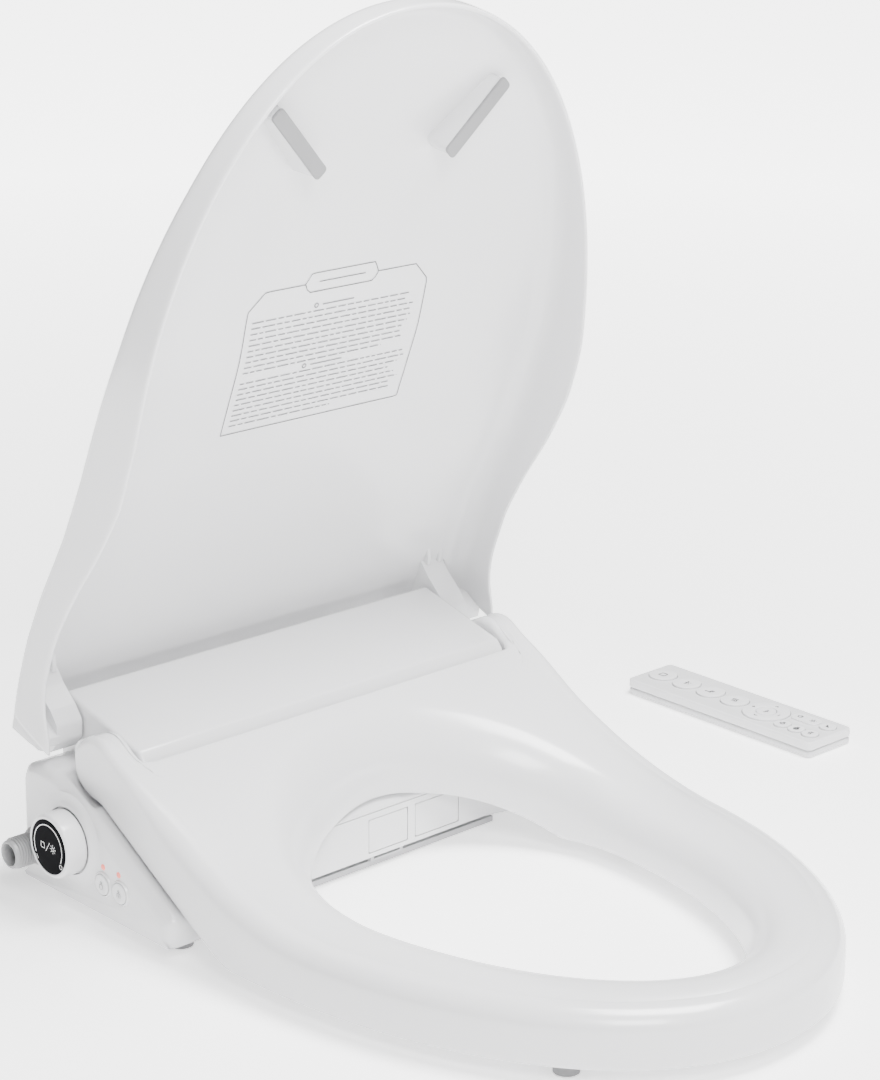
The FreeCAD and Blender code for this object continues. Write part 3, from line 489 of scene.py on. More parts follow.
def hole_loop(root):
    """The edge of the opening seen from its middle, beside each root point."""
    centre = np.array([0, HOLE["widest_at"]])
    ray = root - centre
    reach = np.where(ray[:, 1] < 0, HOLE["widest_at"] - HOLE["front"], HOLE["rear"] - HOLE["widest_at"])
    scale = 1 / np.sqrt((ray[:, 0] / HOLE["half_width"]) ** 2 + (ray[:, 1] / reach) ** 2)
    return centre + ray * scale[:, None]


def make_seat():
    """The ring in closed loops, from the opening over the top and round the edge to the underside."""
    edge, root = seat_half_outline()
    edge, root = mirror_loop(edge), mirror_loop(root)
    outward = loop_normals(edge)
    root_outward = loop_normals(root)
    hole = hole_loop(root)
    away = unit(root - hole)
    count = len(edge)

    on_arm = (edge[:, 1] > SLOT_LINE + 0.5)
    on_slot = (np.abs(edge[:, 0]) < ARM_INNER + 0.5) & ~on_arm & (edge[:, 1] > SLOT_LINE - 1)
    near_arm = blend_share(edge[:, 1], -110, SLOT_LINE)
    outer_run = SHOULDER_RUN - (SHOULDER_RUN - ARM_ROUND) * near_arm
    outer_fall = SHOULDER_FALL - (SHOULDER_FALL - ARM_ROUND) * near_arm
    outer_run[on_slot] = outer_fall[on_slot] = ARM_ROUND
    rows = []

    def add_row(plan, height):
        rows.append(np.column_stack([plan, height]))

    def top_at(plan, across=None):
        """Top surface with a gentle crown between the opening and the outer edge."""
        height = seat_top(plan[:, 1])
        if across is not None:
            edge_share = max(0.0, 2 * across - 1)
            height = height - CROWN_DROP * edge_share ** 2 * (1 - blend_share(plan[:, 1], *CROWN_END))
        return height

    hole_top = top_at(hole, 0)
    hole_low = np.minimum(seat_bottom(hole[:, 0] * 0, hole[:, 1]), 48.0)
    room = np.linalg.norm(root - hole, axis=1)
    lip_run = np.minimum(27.0, 0.56 * room)[:, None]
    root_inset = np.minimum(16.0, 0.26 * room)[:, None]
    # inner wall and rounded lip
    lip_fall = 0.74 * (hole_top - hole_low)
    add_row(hole + away * 2.2, hole_low)
    add_row(hole + away * 0.5, hole_low + 0.7)
    add_row(hole, hole_low + 2.6)
    inner_edge = hole + away * lip_run
    for angle in np.radians([0, 12, 25, 38, 51, 64, 77, 90]):
        plan = hole + away * lip_run * (1 - math.cos(angle))
        fall = lip_fall * (1 - math.sin(angle))
        add_row(plan, top_at(plan, 0) - fall)
    # top surface, from the lip to the rounded shoulder
    inset_edge = edge - outward * outer_run[:, None]
    start = root - root_outward * root_inset
    closing = ~on_arm & ~on_slot & (edge[:, 1] > CLOSING_START)
    start[closing, 1] = CLOSING_START + (edge[closing, 1] - CLOSING_START) * CLOSING_SHARE
    for begin in np.flatnonzero(on_arm & ~np.roll(on_arm, 1)):
        length = 0
        while on_arm[(begin + length) % count]:
            length += 1
        before, after = start[begin - 1], start[(begin + length) % count]
        for step in range(length):
            share = (step + 1) / (length + 1)
            start[(begin + step) % count] = before + (after - before) * share
    for share in (0.2, 0.4, 0.6, 0.8):
        plan = inner_edge + (start - inner_edge) * share
        add_row(plan, top_at(plan, share))
    for share in (0, 0.2, 0.4, 0.6, 0.8):
        plan = start + (inset_edge - start) * share
        add_row(plan, top_at(plan, 1.0))
    for angle in np.radians([0, 15, 30, 45, 60, 75, 90]):
        plan = edge - outward * (outer_run * (1 - math.sin(angle)))[:, None]
        top = top_at(inset_edge, 1)
        low = seat_bottom(edge[:, 0], edge[:, 1])
        fall = np.minimum(outer_fall, 0.5 * (top - low))
        add_row(plan, top - fall * (1 - math.cos(angle)))
    # side wall, lower edge and underside
    low = seat_bottom(edge[:, 0], edge[:, 1])
    shoulder = rows[-1][:, 2]
    add_row(edge, shoulder + (low + 2 - shoulder) * 0.5)
    add_row(edge, low + 2)
    add_row(edge - outward * 0.6, low + 0.6)
    add_row(edge - outward * 2.2, low)
    for share in (0.0, 0.25, 0.5, 0.75):
        plan = start + (inner_edge - start) * share
        base = seat_bottom(plan[:, 0], plan[:, 1])
        add_row(plan, np.minimum(base, top_at(plan) - 12))
    faces = ring_faces(len(rows), count, closed_rows=True)
    make_piece("seat_ring", np.concatenate(rows), faces, WHITE, "seat",
               ["seat_top_shell", "seat_bottom_cover"], divide=1)


make_seat()


# ---- lid ----

LID_AXIS = joint_place("lid_hinge")[1:]
LID_OPEN = math.radians(-78.9)
LID = {"front_half": 188.0, "rear_half": 193.5, "widest_at": -160.0, "tip": -453.0, "rear": 50.0,
       "notch": 21.0}
LID_WALL = 3.2
LID_SKIN = 1.2
EAR_SPAN = (157.6, 177.0)
PAD_SPLIT, PAD_SPLAY = 60, 0.55
CROWN_LINE = np.array([(-460, 55), (-430, 66), (-350, 74), (-220, 82), (-140, 97.5), (-50, 122), (36, 139),
                       (60, 143)])
SHOULDER_LINE = np.array([(-460, 54), (-350, 58), (-250, 68), (-181, 79), (-120, 92), (-72, 107), (-28, 117),
                          (1, 121), (60, 124)])
RIM_LINE = np.array([(-460, 34), (-200, 34), (-160, 40), (-125, 53), (-90, 70), (-55, 84), (-20, 91), (5, 90),
                     (30, 80), (60, 80)])


def smooth_line(table, y):
    """A smooth height from a table of places and heights."""
    total = 0
    spread = 9.0
    for shift, weight in ((-1, 0.25), (0, 0.5), (1, 0.25)):
        total = total + weight * np.interp(y + shift * spread, table[:, 0], table[:, 1])
    return total


def opened(points):
    """Points drawn on the closed lid, turned to where the open lid stands."""
    points = np.array(points, float)
    run, rise = points[:, 1] - LID_AXIS[0], points[:, 2] - LID_AXIS[1]
    turned = points.copy()
    turned[:, 1] = LID_AXIS[0] + run * math.cos(LID_OPEN) - rise * math.sin(LID_OPEN)
    turned[:, 2] = LID_AXIS[1] + run * math.sin(LID_OPEN) + rise * math.cos(LID_OPEN)
    return turned


def lid_half(y, inset=0.0):
    """Half of the lid's width along its length behind its widest place."""
    return np.interp(y, [LID["widest_at"], -40, 60],
                     [LID["front_half"], LID["rear_half"], LID["rear_half"]]) - inset


def lid_height(x, y):
    """Height of the lid's outer surface, closed."""
    ahead = np.clip((LID["widest_at"] - y) / (LID["widest_at"] - LID["tip"]), 0, None)
    across = np.abs(x) / lid_half(y)
    reach = (across ** OVAL_POWER + ahead ** OVAL_POWER) ** (1 / OVAL_POWER)
    power = 5 + 5 * blend_share(y, -120, -50)
    crown, shoulder = smooth_line(CROWN_LINE, y), smooth_line(SHOULDER_LINE, y)
    return crown - (crown - shoulder) * np.minimum(reach, 1.02) ** power


def lid_path(inset, rear):
    """Half of the lid's edge in plan, from its rear end on the right to the middle of its tip."""
    side_y = np.linspace(rear, LID["widest_at"], 34)[:-1]
    side = np.stack([lid_half(side_y, inset), side_y], 1)
    front = oval_quarter(LID["front_half"] - inset, LID["widest_at"], LID["tip"] + inset, OVAL_POWER,
                         60)[::-1]
    return side, front


def lid_edge(inset, rear):
    """The lid's edge in plan from its right rear end round the tip to its left rear end."""
    side, front = lid_path(inset, rear)
    half = np.concatenate([side, front])
    return np.concatenate([half, half[-2::-1] * np.array([-1, 1])])


SIDE_POINTS = 33 + 26
NOTCH_EDGES = (149.0, 153.5)


def lid_grid(edge):
    """Fill the lid's plan with a grid whose border follows the edge: rows from rear to front."""
    total = len(edge)
    right, left = edge[:SIDE_POINTS + 1], edge[::-1][:SIDE_POINTS + 1]
    front = edge[SIDE_POINTS:total - SIDE_POINTS]
    columns = len(front)
    shares = np.linspace(0, 1, columns)
    start, end = edge[0], edge[-1]
    rear = start + (end - start) * shares[:, None]
    for bound in NOTCH_EDGES:
        for side in (-1, 1):
            nearest = np.argmin(np.abs(rear[:, 0] - side * bound))
            rear[nearest, 0] = side * bound
    across = np.abs(rear[:, 0])
    rear[:, 1] = np.where(across < NOTCH_EDGES[0] + 0.5, LID["rear"],
                          31 - 10 * blend_share(across, 174, start[0]))
    grid = []
    for row in range(SIDE_POINTS + 1):
        share = row / SIDE_POINTS
        line = (1 - share) * rear + share * front
        ends = (1 - shares)[:, None] * right[row] + shares[:, None] * left[row]
        corners = (1 - share) * ((1 - shares)[:, None] * start + shares[:, None] * end)
        corners = corners + share * ((1 - shares)[:, None] * front[0] + shares[:, None] * front[-1])
        grid.append(line + ends - corners)
    return np.array(grid)


def lid_rear_end(height):
    """Where the side wall ends at the rear, sloping forwards as it rises."""
    return 21 + (119 - height) * 9 / 39


def make_lid():
    """The lid as one closed skin: an outer and an inner grid joined by the rim's loops."""
    points, faces = [], []

    def add_grid(inset, drop):
        grid = lid_grid(lid_edge(inset, LID["notch"]))
        rows, columns = grid.shape[:2]
        flat = grid.reshape(-1, 2)
        height = lid_height(flat[:, 0], flat[:, 1]) - drop
        base = len(points)
        points.extend(np.column_stack([flat, height]))
        faces.extend(grid_faces(rows, columns, base))
        border = [base + row * columns for row in range(rows)]
        border += [base + (rows - 1) * columns + column for column in range(1, columns)]
        border += [base + row * columns + columns - 1 for row in range(rows - 2, -1, -1)]
        rear = [base + column for column in range(columns)]
        return border, rear

    def add_row(inset, height_of):
        edge = lid_edge(inset, LID["notch"])
        height = height_of(edge)
        rear_shift = lid_rear_end(height) - LID["notch"]
        share = np.clip((edge[:, 1] + 70) / (LID["notch"] + 70), 0, 1) ** 2
        edge = edge + np.stack([np.zeros(len(edge)), rear_shift * share], 1)
        base = len(points)
        points.extend(np.column_stack([edge, height]))
        return [base + step for step in range(len(edge))]

    rounding, fillet = 6.0, 11.0
    outer_border, outer_rear = add_grid(rounding, 0)
    chain = [outer_border]

    def rim(edge):
        return smooth_line(RIM_LINE, edge[:, 1] + 12 * np.clip((edge[:, 1] + 20) / 34, 0, 1))

    def shoulder(edge, drop=0.0):
        return lid_height(edge[:, 0], edge[:, 1]) - drop

    for angle in np.radians([30, 60, 90]):
        inset = rounding * (1 - math.sin(angle))
        fall = rounding * (1 - math.cos(angle))
        chain.append(add_row(inset, lambda edge, fall=fall: shoulder(edge, fall)))
    for share in (0.35, 0.7):
        chain.append(add_row(0, lambda edge,
                             share=share: shoulder(edge, rounding) * (1 - share) + share * rim(edge)))
    chain.append(add_row(0, lambda edge: rim(edge) + 1.0))
    chain.append(add_row(0.9, rim))
    chain.append(add_row(LID_WALL - 0.7, rim))
    chain.append(add_row(LID_WALL, lambda edge: rim(edge) + 1.0))
    for share in (0.35, 0.7, 1.0):
        chain.append(add_row(LID_WALL, lambda edge, share=share: (rim(edge) + 1) * (1 - share)
                             + share * shoulder(edge, LID_WALL + fillet)))
    for angle in np.radians([22, 45, 68]):
        inset = LID_WALL + fillet * (1 - math.cos(angle))
        fall = LID_WALL + fillet * (1 - math.sin(angle))
        chain.append(add_row(inset, lambda edge, fall=fall: shoulder(edge, fall)))
    inner_border, inner_rear = add_grid(LID_WALL + fillet, LID_WALL)
    chain.append(inner_border)
    for above, below in zip(chain, chain[1:]):
        faces.extend(strip_faces(above, below))
    for end in (0, -1):
        ends = [row[end] for row in chain]
        while len(ends) > 3:
            faces.append((ends[0], ends[1], ends[-2], ends[-1]))
            ends = ends[1:-1]
        if len(ends) == 3:
            faces.append(tuple(ends))
    faces.extend(strip_faces(outer_rear, inner_rear))
    make_piece("lid_dish", opened(points), faces, WHITE, "lid", ["lid_shell"], divide=1)


make_lid()

# ---- lid fittings ----

def lid_prism(name, outline, low, high, material, nodes=(), round_by=0.0, steps=3, axis="X"):
    """A rounded solid drawn on the closed lid and turned with it."""
    piece = prism(name, outline, low, high, axis, material, "lid", nodes, round_by, steps)
    spots = np.array([vertex.co for vertex in piece.data.vertices]) / MM
    for vertex, spot in zip(piece.data.vertices, opened(spots)):
        vertex.co = Vector(spot) * MM
    return piece


def reshape(piece, change):
    """Change where each point of a piece on the lid stands, as seen with the lid closed."""
    turn_back = Matrix.Rotation(-LID_OPEN, 3, "X")
    turn_on = Matrix.Rotation(LID_OPEN, 3, "X")
    axis = Vector((0, *LID_AXIS))
    for vertex in piece.data.vertices:
        spot = turn_back @ (vertex.co / MM - axis) + axis
        change(spot)
        vertex.co = (turn_on @ (spot - axis) + axis) * MM


def keep_under_lid(piece):
    """Pull in whatever of a piece on the lid's inner face would stand out through the lid."""
    def pull_in(spot):
        reach = float(lid_half(np.array([spot.y]))[0]) - LID_SKIN
        spot.x = max(-reach, min(reach, spot.x))
        spot.z = min(spot.z, float(lid_height(np.array([spot.x]), np.array([spot.y]))[0]) - LID_SKIN)

    reshape(piece, pull_in)


def make_ears():
    """Thumb-shaped hinge arms beside the casing, hanging from the lid's inner face."""
    outline = [(43, 131.5), (45.5, 112), (40, 98.5), (30, 92.8), (19, 94.5), (11.5, 103), (3, 117),
               (-7, 128.3), (14, 132.1), (30, 133.5)]
    outline = smooth_outline(outline, [3, 8, 7, 6, 6, 7, 10, 2, 0, 2], steps=4)
    for side, sign in SIDES:
        near, far = sorted((EAR_SPAN[0] * sign, EAR_SPAN[1] * sign))
        ear = lid_prism(f"ear_{side}", outline, near, far, WHITE, [f"lid_hinge_arm_{side}"], 4.0, 5)
        keep_under_lid(ear)


def make_pads():
    """Grey oblong pads on white wedges near the lid's tip, splayed in a V."""
    for side, sign in SIDES:
        middle = np.array([sign * 72.0, -370.0])
        run = np.array([-sign * 20.0, 21.0]) / 29.0
        across = np.array([21.0, sign * 20.0]) / 29.0
        for label, length, width, low, high, material in (("face", 30.0, 5.0, 49.0, 51.2, PAD_GREY),
                                                          ("wedge", 29.0, 4.4, 51.0, 69.5, WHITE)):
            corners = [middle + run * along + across * beside
                       for along, beside in rectangle((-length, -width), (length, width))]
            outline = smooth_outline([tuple(corner) for corner in corners], 3.2, steps=4)
            nodes = ["lid_pads"] if (side, label) == ("left", "face") else []
            piece = lid_prism(f"pad_{label}_{side}", outline, low, high, material, nodes, 0.7, 3, "Z")
            if label == "wedge":
                splay_wedge(piece, middle, across)
                keep_under_lid(piece)


def splay_wedge(piece, middle, across):
    """Widen a pad's stand-off towards the lid it stands on."""
    def widen(spot):
        if spot.z > PAD_SPLIT:
            grow = across * ((np.array(spot[:2]) - middle) @ across) * PAD_SPLAY
            spot.x += grow[0]
            spot.y += grow[1]

    reshape(piece, widen)


def strip_mesh(lines, width):
    """Flat ribbons along polylines in a plane: points as pairs and the faces between them."""
    points, faces = [], []
    for line in lines:
        line = np.array(line, float)
        run = unit(np.gradient(line, axis=0))
        side = np.stack([-run[:, 1], run[:, 0]], 1) * width / 2
        base = len(points)
        for spot, offset in zip(line, side):
            points.extend([spot + offset, spot - offset])
        for step in range(len(line) - 1):
            first = base + 2 * step
            faces.append((first, first + 1, first + 3, first + 2))
    return np.array(points), faces


def circle_line(centre, radius, start=0, end=360, count=33):
    """A circle or an arc between two angles in degrees."""
    angles = np.radians(np.linspace(start, end, count))
    return np.stack([centre[0] + radius * np.cos(angles), centre[1] + radius * np.sin(angles)], 1)


def dense(line, step=4.0):
    """A polyline with extra points, so that it can follow a curved face."""
    line = np.array(line, float)
    length = np.linalg.norm(np.diff(line, axis=0), axis=1).sum()
    return resample(line, max(2, int(length / step) + 1))


def rays(centre, near, far, spacing):
    """Short lines that point away from a centre, spaced by an angle in degrees."""
    turns = np.radians(range(0, 360, spacing))
    return [[(centre[0] + reach * math.cos(turn), centre[1] + reach * math.sin(turn))
             for reach in (near, far)] for turn in turns]


def side_sign(name, lines, spacing, width, level, centre, material, body):
    """Thin lines on a face that looks towards -X, so that its right is towards -Y."""
    flat, faces = strip_mesh([dense(line, spacing) for line in lines], width)
    spots = np.column_stack([np.full(len(flat), level), centre[1] - flat[:, 0], centre[2] + flat[:, 1]])
    make_piece(name, spots, faces, material, body)


def make_label():
    """A printed notice panel on the lid's inner face: a frame with a header tab and rows of plain dashes."""
    half, near, far = 74.0, -165.0, -265.0
    frame_line = [(-half, near), (half, near), (half, far + 12), (half - 12, far), (30, far), (26, far - 7),
                  (-26, far - 7), (-30, far), (-half + 12, far), (-half, far + 12), (-half, near)]
    tab = [(30, far), (27, far + 6), (-27, far + 6), (-30, far)]
    lines = [dense(frame_line), dense(tab), dense([(-19, far - 0.5), (19, far - 0.5)])]
    pale = []
    run = np.random.default_rng(7)
    for row in range(21):
        y = far + 16 + row * 3.9
        if row in (0, 11):
            pale.append(dense([(-13, y), (13, y)]))
            pale.append(circle_line((-18, y), 1.5, count=9))
            continue
        x = -half + 5
        last = half - 5 - run.uniform(0, 1) * (60 if row in (10, 20) else 14)
        while x < last:
            length = run.uniform(3, 10)
            pale.append(dense([(x, y), (min(x + length, last), y)]))
            x += length + 1.6
    for name, group, width, material in (("label_frame", lines, 0.55, PRINT),
                                         ("label_rows", pale, 0.75, PALE_PRINT)):
        flat, faces = strip_mesh(group, width)
        height = lid_height(flat[:, 0], flat[:, 1]) - LID_WALL - 0.35
        make_piece(name, opened(np.column_stack([flat, height])), faces, material, "lid")


def make_ribs():
    """Two small stiffening ribs above each hinge arm."""
    outline = [(-3, 129.6), (-3, 121.5), (-9, 122.0), (-19, 127.4)]
    for side, sign in SIDES:
        for label, place in (("inner", 160.2), ("outer", 171.0)):
            near, far = sorted((place * sign, (place + 3.4) * sign))
            rib = lid_prism(f"rib_{label}_{side}", outline, near, far, WHITE, round_by=0.9, steps=3)
            keep_under_lid(rib)


def make_lid_corners():
    """Webs that close the lid's rear corners between the hinge arms and the side walls."""
    outline = smooth_outline([(25.0, 93.0), (32.0, 93.0), (32.6, 105), (31, 127.5), (18, 127.5), (18.5, 108)],
                             [1.5, 1.5, 3, 1, 1, 4], steps=3)
    for side, sign in SIDES:
        near, far = sorted((175.0 * sign, 190.0 * sign))
        corner = lid_prism(f"lid_corner_{side}", outline, near, far, WHITE, round_by=0.6)
        keep_under_lid(corner)


make_ears()
make_lid_corners()
make_ribs()
make_pads()
make_label()


# ---- casing, wings and front ----

def make_casing():
    """The raised hinge cover between the wings, a shell that is open below."""
    corners = [(38, 31), (38, 122), (30, 130), (-44.5, 110), (-50, 103.5), (-50, 84), (-93, 42.4),
               (-93, 40.6)]
    half = 156.0
    round_by = 3.0
    rows = []
    path = np.array(fillet_profile(corners, [0, 7, 5, 6, 5, 3], 5))
    run = unit(np.gradient(path, axis=0))
    inward = np.stack([-run[:, 1], run[:, 0]], 1)
    stations = [(-half + round_by * (1 - math.cos(angle)), round_by * (1 - math.sin(angle)))
                for angle in np.radians([0, 30, 60, 90])]
    stations += [(x, 0.0) for x in np.linspace(-half + round_by, half - round_by, 9)[1:-1]]
    stations += [(-x, inset) for x, inset in stations[3::-1]]
    for x, inset in stations:
        rows.append(np.column_stack([np.full(len(path), x), path + inward * inset]))
    count = len(path)
    points = np.concatenate(rows)
    faces = grid_faces(len(rows), count)
    ends = []
    for row, x in ((0, -half), (len(rows) - 1, half)):
        ends.append((*range(row * count, (row + 1) * count), len(points)))
        points = np.concatenate([points, [(x, -88.0, 31.0)]])
    piece = make_piece("hinge_cover", points, faces + ends, WHITE, "base", ["top_casing"],
                       sharp=math.radians(40))
    thicken(piece, 2.4)


def wing_side():
    """Side view of a wing with its corners rounded."""
    corners = [(-117, 9), (-117, 28.2), (-8, 87.2), (3, 90.5), (22, 90.5), (33, 87.5), (37, 79), (38, 9)]
    return smooth_outline(corners, [4, 7, 12, 8, 5, 6, 9, 4], steps=6)


def make_wing(name, sign, node):
    """One side panel: flat outside, with a wide rounding along its top and rear edges."""
    outline = np.array(wing_side())
    outline = resample(np.concatenate([outline, outline[:1]]), 121)[:-1]
    outward = -loop_normals(outline)
    weight = np.where(outline[:, 1] < 12, 0.15, 1.0)[:, None]
    fillet, outer, inner = 8.0, 189.0, 157.0
    middle, arm_side, below_arm = 170.0, 179.6, 60
    beside_arm = outline.copy()
    run = np.clip(np.abs(outline[:, 0] - seat_axis[1]) / (ARM_RADIUS + SWEEP_GAP), 0, 1)
    trough = seat_axis[2] - (ARM_RADIUS + SWEEP_GAP) * np.sqrt(1 - run ** 2)
    above = (run < 1) & (outline[:, 1] > below_arm)
    beside_arm[above, 1] = np.minimum(outline[above, 1], trough[above])
    rows = [(inner, beside_arm - outward * 2.5 * weight)]
    rows += [(x, beside_arm) for x in (inner, middle, arm_side)]
    rows.append((outer - fillet + 0.4, outline))
    for angle in np.radians([18, 36, 54, 72, 90]):
        inset = fillet * (1 - math.cos(angle))
        rows.append((outer - fillet * (1 - math.sin(angle)), outline - outward * inset * weight))
    count = len(outline)
    points = np.concatenate([np.column_stack([np.full(count, sign * x), plan]) for x, plan in rows])
    faces = ring_faces(len(rows), count)
    faces.append(tuple(range((len(rows) - 1) * count, len(rows) * count)))
    piece = make_piece(name, points, faces, WHITE, "base", [node])
    thicken(piece, 1.6)


def make_front():
    """Covers over the nozzle and the dryer, in the front panel."""
    pin_room = 1.8
    for name, node, body in (("nozzle_cover_leaf", "nozzle_door", "nozzle_cover"),
                             ("dryer_cover_leaf", "dryer_flap", "dryer_cover")):
        low, high = node_box(node)
        leaf = rectangle((low[0] + pin_room, low[2]), (high[0] - pin_room, high[2]))
        outline = smooth_outline(leaf, 1.6, steps=3)
        prism(name, outline, low[1], low[1] + 2.0, "Y", WHITE, body, [node], 0.5, 2)


make_casing()
make_wing("wing_left", -1, "side_panel_left")
make_wing("wing_right", 1, "side_panel_right")
make_front()


# ---- knob, buttons, lamps and inlet ----

WING_FACE = -189.0
PANEL_END_TOP = 36.0
LAMP_HEIGHT = 43.5


def make_panel_ends():
    """Blocks that close the base between the front panel's ends and the wings."""
    for side, sign in SIDES:
        corners = [(84, -90.4), (84, -92.2), (92, -93.2), (128, -100.4), (156.4, -106), (156.4, -90.4)]
        outline = [(x * sign, y) for x, y in corners]
        prism(f"panel_end_{side}", outline, 9.4, PANEL_END_TOP, "Z", WHITE, "base", round_by=0.5)


def make_knob():
    """The side knob: a flared seat on the wing, the grip, and a black face with its signs."""
    centre = box_middle("knob_body", (1, 2))
    front = node_box("knob_body")[0][0]
    flare = below(WING_FACE, (31.5, 0.02), (29, 0.25), (27, 0.7), (25, 1.5), (23.6, 2.1), (22.2, 2.3),
                  (21.9, 1.6), (21.9, -0.6))
    lathe("knob_seat", flare, centre, "X", WHITE, "base")
    grip = below(WING_FACE, (0.01, 2.15), (20.4, 2.15), (21, 2.6))
    grip += below(front, (21.0, -3.2), (20.85, -1.6), (20.3, -0.6), (19.4, -0.12), (18.5, 0), (18.1, -0.25),
                  (18.05, -1.0))
    lathe("knob_grip", grip, centre, "X", WHITE, "knob", ["knob_body"])
    glass = below(front, (18.0, -1.0), (18.0, -0.35), (17.6, -0.05), (16.5, 0.05), (9, 0.08), (0.01, 0.1))
    lathe("knob_glass", glass, centre, "X", BLACK, "knob", ["knob_face"])
    arc = [circle_line((0, 0), 14.6, -28, 208, 61)]
    marks = [[(-3.8, -1.8), (-3.8, 1.8), (-7.4, 1.8), (-7.4, -1.8), (-3.8, -1.8)], [(-2.4, -3.2), (1.8, 3.2)]]
    marks += [circle_line((5.2, 0), 1.3, count=13)] + rays((5.2, 0), 2.0, 3.0, 45)
    marks += [[(-14.5, -8.5), (-12.3, -11.5)], [(-12.6, -8.4), (-10.8, -10.9)],
              circle_line((13, -9.5), 1.5, count=11)]
    for name, group, width in (("knob_arc", arc, 0.6), ("knob_signs", marks, 0.4)):
        side_sign(name, group, 1.0, width, front - 0.22, centre, MARK, "knob")


def make_buttons():
    """Two side buttons with collars and signs, and an indicator lamp beside each."""
    for name, node, body, sign in (("button_front", "side_button_front", "front_button", 0),
                                   ("button_rear", "side_button_rear", "rear_button", 1)):
        low, high = node_box(node)
        centre = box_middle(node, (1, 2))
        radius = (high[2] - low[2]) / 2
        face = low[0] - 0.3
        cap = below(WING_FACE, (0.01, 1.3), (radius - 0.3, 1.3), (radius, 1.6))
        cap += below(face, (radius, -0.6), (radius - 0.25, -0.2), (radius - 0.8, 0), (radius - 2.4, -0.12),
                     (0.01, -0.3))
        lathe(name, cap, centre, "X", KEY_WHITE, body, [node], count=48)
        collar = below(WING_FACE, (radius + 1.7, 0.02), (radius + 1.4, 0.9), (radius + 1.0, 1.45),
                       (radius + 0.5, 1.5), (radius + 0.25, 1.2), (radius + 0.25, 0.02))
        lathe(name + "_collar", collar, centre, "X", WHITE, "base", count=48)
        marks = [circle_line((0, 1.6), 0.8, count=11), [(-1.6, -2.6), (-1.6, 0.2), (1.6, 0.2), (1.6, -2.6)]]
        marks += [[(-0.5, -2.8), (0.5, -2.8)]] if sign else [[(0, -0.8), (0, -2.8)]]
        side_sign(name + "_sign", marks, 0.8, 0.4, face - 0.02, centre, PALE_PRINT, body)
    lens = below(WING_FACE, (2.0, -0.4), (1.95, 0.2), (1.5, 0.5), (0.01, 0.65))
    for label, y, nodes in (("front", -66.0, ["status_leds"]), ("rear", -50.0, [])):
        lathe(f"lamp_{label}", lens, np.array([0, y, LAMP_HEIGHT]), "X", LAMP, "base", nodes, count=24)


def make_inlet():
    """The threaded hose connection: a helical ridge round a spigot with a smooth end ring."""
    centre = np.array([0, 22.5, 34.0])
    end, root = -210.0, WING_FACE + 0.4
    pitch, turns = 2.0, 8
    outer, groove, around = 10.48, 8.7, 56
    rows = []
    steps = 8
    start = end + 2.6
    total = turns * steps
    for row in range(total + 1):
        ring = []
        for step in range(around):
            angle = 2 * math.pi * step / around
            phase = (row / steps + step / around) % 1.0
            ridge = 0.5 + 0.5 * math.cos(2 * math.pi * phase)
            fade = min(1.0, row / 5, (total - row) / 5)
            radius = groove + (outer - groove) * ridge ** 1.4 * fade
            ring.append((start + pitch * row / steps, centre[1] + radius * math.cos(angle),
                         centre[2] + radius * math.sin(angle)))
        rows.extend(ring)
    make_piece("inlet_thread", rows, ring_faces(total + 1, around), THREAD, "base", ["water_inlet"])
    nose = below(start, (9.4, -0.2)) + below(end, (9.3, -1.0), (8.9, -0.3), (8.3, 0), (7.5, 0), (7.1, -0.5),
                                             (7.0, -2), (7.0, -9), (0.01, -9))
    lathe("inlet_nose", nose, centre, "X", THREAD, "base")
    collar = below(start + pitch * turns, (9.2, 0.5), (11.3, -0.2)) + below(root, (12.6, 0.7), (13.2, 0))
    lathe("inlet_collar", collar, centre, "X", THREAD, "base")


make_panel_ends()
make_knob()
make_buttons()
make_inlet()


# ---- remote ----

def flat_sign(name, lines, centre, height, width, material, body):
    """Thin printed lines on a level face, drawn from a centre with +Y up."""
    flat, faces = strip_mesh([dense(line, 0.8) for line in lines], width)
    spots = np.column_stack([flat + np.array(centre[:2]), np.full(len(flat), height)])
    make_piece(name, spots, faces, material, body)


def wave_line(y, half=2.6, rise=0.8):
    """One wave across a key."""
    spread = np.linspace(-half, half, 17)
    return np.stack([spread, y + rise * np.sin(spread / half * math.pi)], 1)


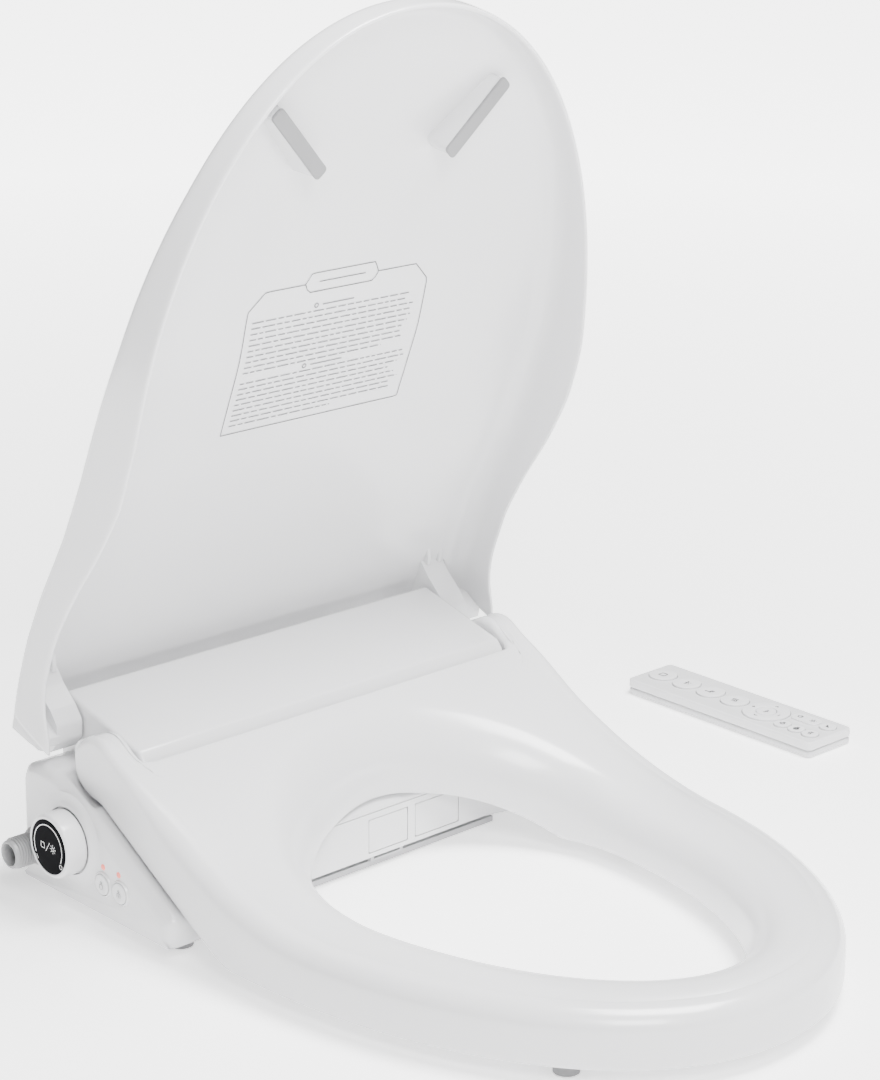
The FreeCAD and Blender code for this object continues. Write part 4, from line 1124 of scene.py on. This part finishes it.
SIGNS = {
    "remote_key_1": [smooth_outline([(-2.6, -2.6), (2.6, -2.6), (2.6, 2.6), (-2.6, 2.6)],
                                    0.8) + [(-1.8, -2.6)]],
    "remote_key_2": [circle_line((-1.2, 1.2), 1.5, 200, 380, 13), circle_line((1.6, 1.2), 1.4, 200, 380, 13),
                     [(0.2, -1.2), (0.2, -1.8)], [(-1, -2.2), (-1.4, -2.9)], [(1.4, -2.2), (1.8, -2.9)]],
    "remote_key_3": [[(-1.6, 2.6), (-1.2, 0), (1.6, 0), (1.6, -2.6)], circle_line((-1.6, 3.4), 0.6, count=11),
                     [(-2.6, -0.8), (0.2, -0.8), (0.2, -2.6)]],
    "remote_key_4": [wave_line(1.8), wave_line(0), wave_line(-1.8)],
    "remote_key_5": [[(0, 2.4), (1.3, 0.2), (1.3, -0.8), (0, -1.8), (-1.3, -0.8), (-1.3, 0.2), (0, 2.4)],
                     [(2.4, 1.2), (2.4, -1.4)]],
    "remote_key_6": [circle_line((-0.4, 0), 1.9, count=21), circle_line((-0.4, 0), 1.0, count=15),
                     [(2.5, 1.2), (2.5, -1.4)]],
    "remote_key_7": [wave_line(1.0, 1.7, 0.5), wave_line(-0.6, 1.7, 0.5), [(2.5, 1.2), (2.5, -1.4)]],
    "remote_key_8": [[(-1.8, -1.8), (1.8, 1.8)], circle_line((0, 0), 1.2, 30, 210, 11)],
    "remote_select_key": [circle_line((-1.3, 0.8), 1.3, 190, 350, 11),
                          circle_line((1.3, 0.8), 1.3, 190, 350, 11),
                          [(0, -0.4), (0, -2)]],
}


KEY_DEPTH = 0.9


def seam_ring(name, centre, radius, top, count=64):
    """The shadow line round a key."""
    ring = below(top, (radius + 0.02, -0.02), (radius + 0.45, -0.03), (radius + 0.6, 0.1))
    lathe(name, ring, centre, "Z", SEAM, "remote", count=count)


def make_remote():
    """The handset: two case halves, its keys, the dial ring and the pill key."""
    low, high = node_box("remote_case_front")
    back_low = node_box("remote_case_back")[0]

    def case_outline(inset):
        return smooth_outline(rectangle(low[:2] + inset, high[:2] - inset), 4.5, steps=6)

    cells = ["remote_case_front", "remote_case_back", "remote_battery_door"]
    top = high[2]
    seam = back_low[2] + 5.0
    prism("remote_back", case_outline(0.25), max(back_low[2], 0.05), seam, "Z", SATIN, "remote",
          cells[1:], 1.6, 4)
    prism("remote_front", case_outline(0.0), seam + 0.25, top, "Z", WHITE, "remote", cells[:1], 1.4, 4)

    for name in [f"remote_key_{number}" for number in range(1, 9)] + ["remote_select_key"]:
        key_low, key_high = node_box(name)
        centre = box_middle(name, (0, 1))
        radius = (key_high[0] - key_low[0]) / 2
        face = key_high[2]
        cap = below(top, (radius, KEY_DEPTH))
        cap += below(face, (radius, 0.5), (radius - 0.15, 0.15), (radius - 0.6, 0), (radius * 0.6, 0.22),
                     (0.01, 0.3))
        lathe(name + "_cap", cap, centre, "Z", KEY_WHITE, name, [name], count=48)
        seam_ring(name + "_gap", centre, radius, top, 48)
        flat_sign(name + "_sign", SIGNS[name], centre, face - 0.12, 0.85, PRINT, name)

    key_low, key_high = node_box("remote_dial_ring")
    centre = box_middle("remote_dial_ring", (0, 1))
    radius, face = (key_high[0] - key_low[0]) / 2, key_high[2]
    ring = below(top, (8.0, KEY_DEPTH))
    ring += below(face, (8.0, 0.5), (8.3, 0.1), (9.0, 0), (radius - 1.0, 0), (radius - 0.3, 0.15),
                  (radius, 0.6))
    ring += below(top, (radius, KEY_DEPTH))
    lathe("dial_ring", ring, centre, "Z", KEY_WHITE, "remote_dial_ring", ["remote_dial_ring"])
    seam_ring("dial_gap", centre, radius, top)
    arrows = [[(-1.4, 12.4), (1.4, 12.4)], [(0, 11), (0, 13.8)], [(-1.4, -12.4), (1.4, -12.4)],
              [(-11.6, 1.4), (-13.2, 0), (-11.6, -1.4)], [(11.6, 1.4), (13.2, 0), (11.6, -1.4)]]
    flat_sign("dial_signs", arrows, centre, face + 0.04, 0.9, PRINT, "remote_dial_ring")

    key_low, key_high = node_box("remote_pill_key")
    half = (key_high[0] - key_low[0]) / 2
    pill = smooth_outline(rectangle(key_low, key_high), half * 0.98, steps=10)
    prism("pill_cap", pill, top - KEY_DEPTH, key_high[2], "Z", KEY_WHITE, "remote_pill_key",
          ["remote_pill_key"], 0.45, 3)
    middle = box_middle("remote_pill_key", (0, 1))
    lamp = [circle_line((0, -6), 1.2, count=13)] + rays((0, -6), 1.9, 2.7, 60)
    lamp += [circle_line((0, 6), 1.9, count=17), circle_line((0, 5.7), 0.9, 200, 340, 7)]
    flat_sign("pill_signs", lamp, middle, key_high[2] + 0.04, 0.75, PRINT, "remote_pill_key")


make_remote()
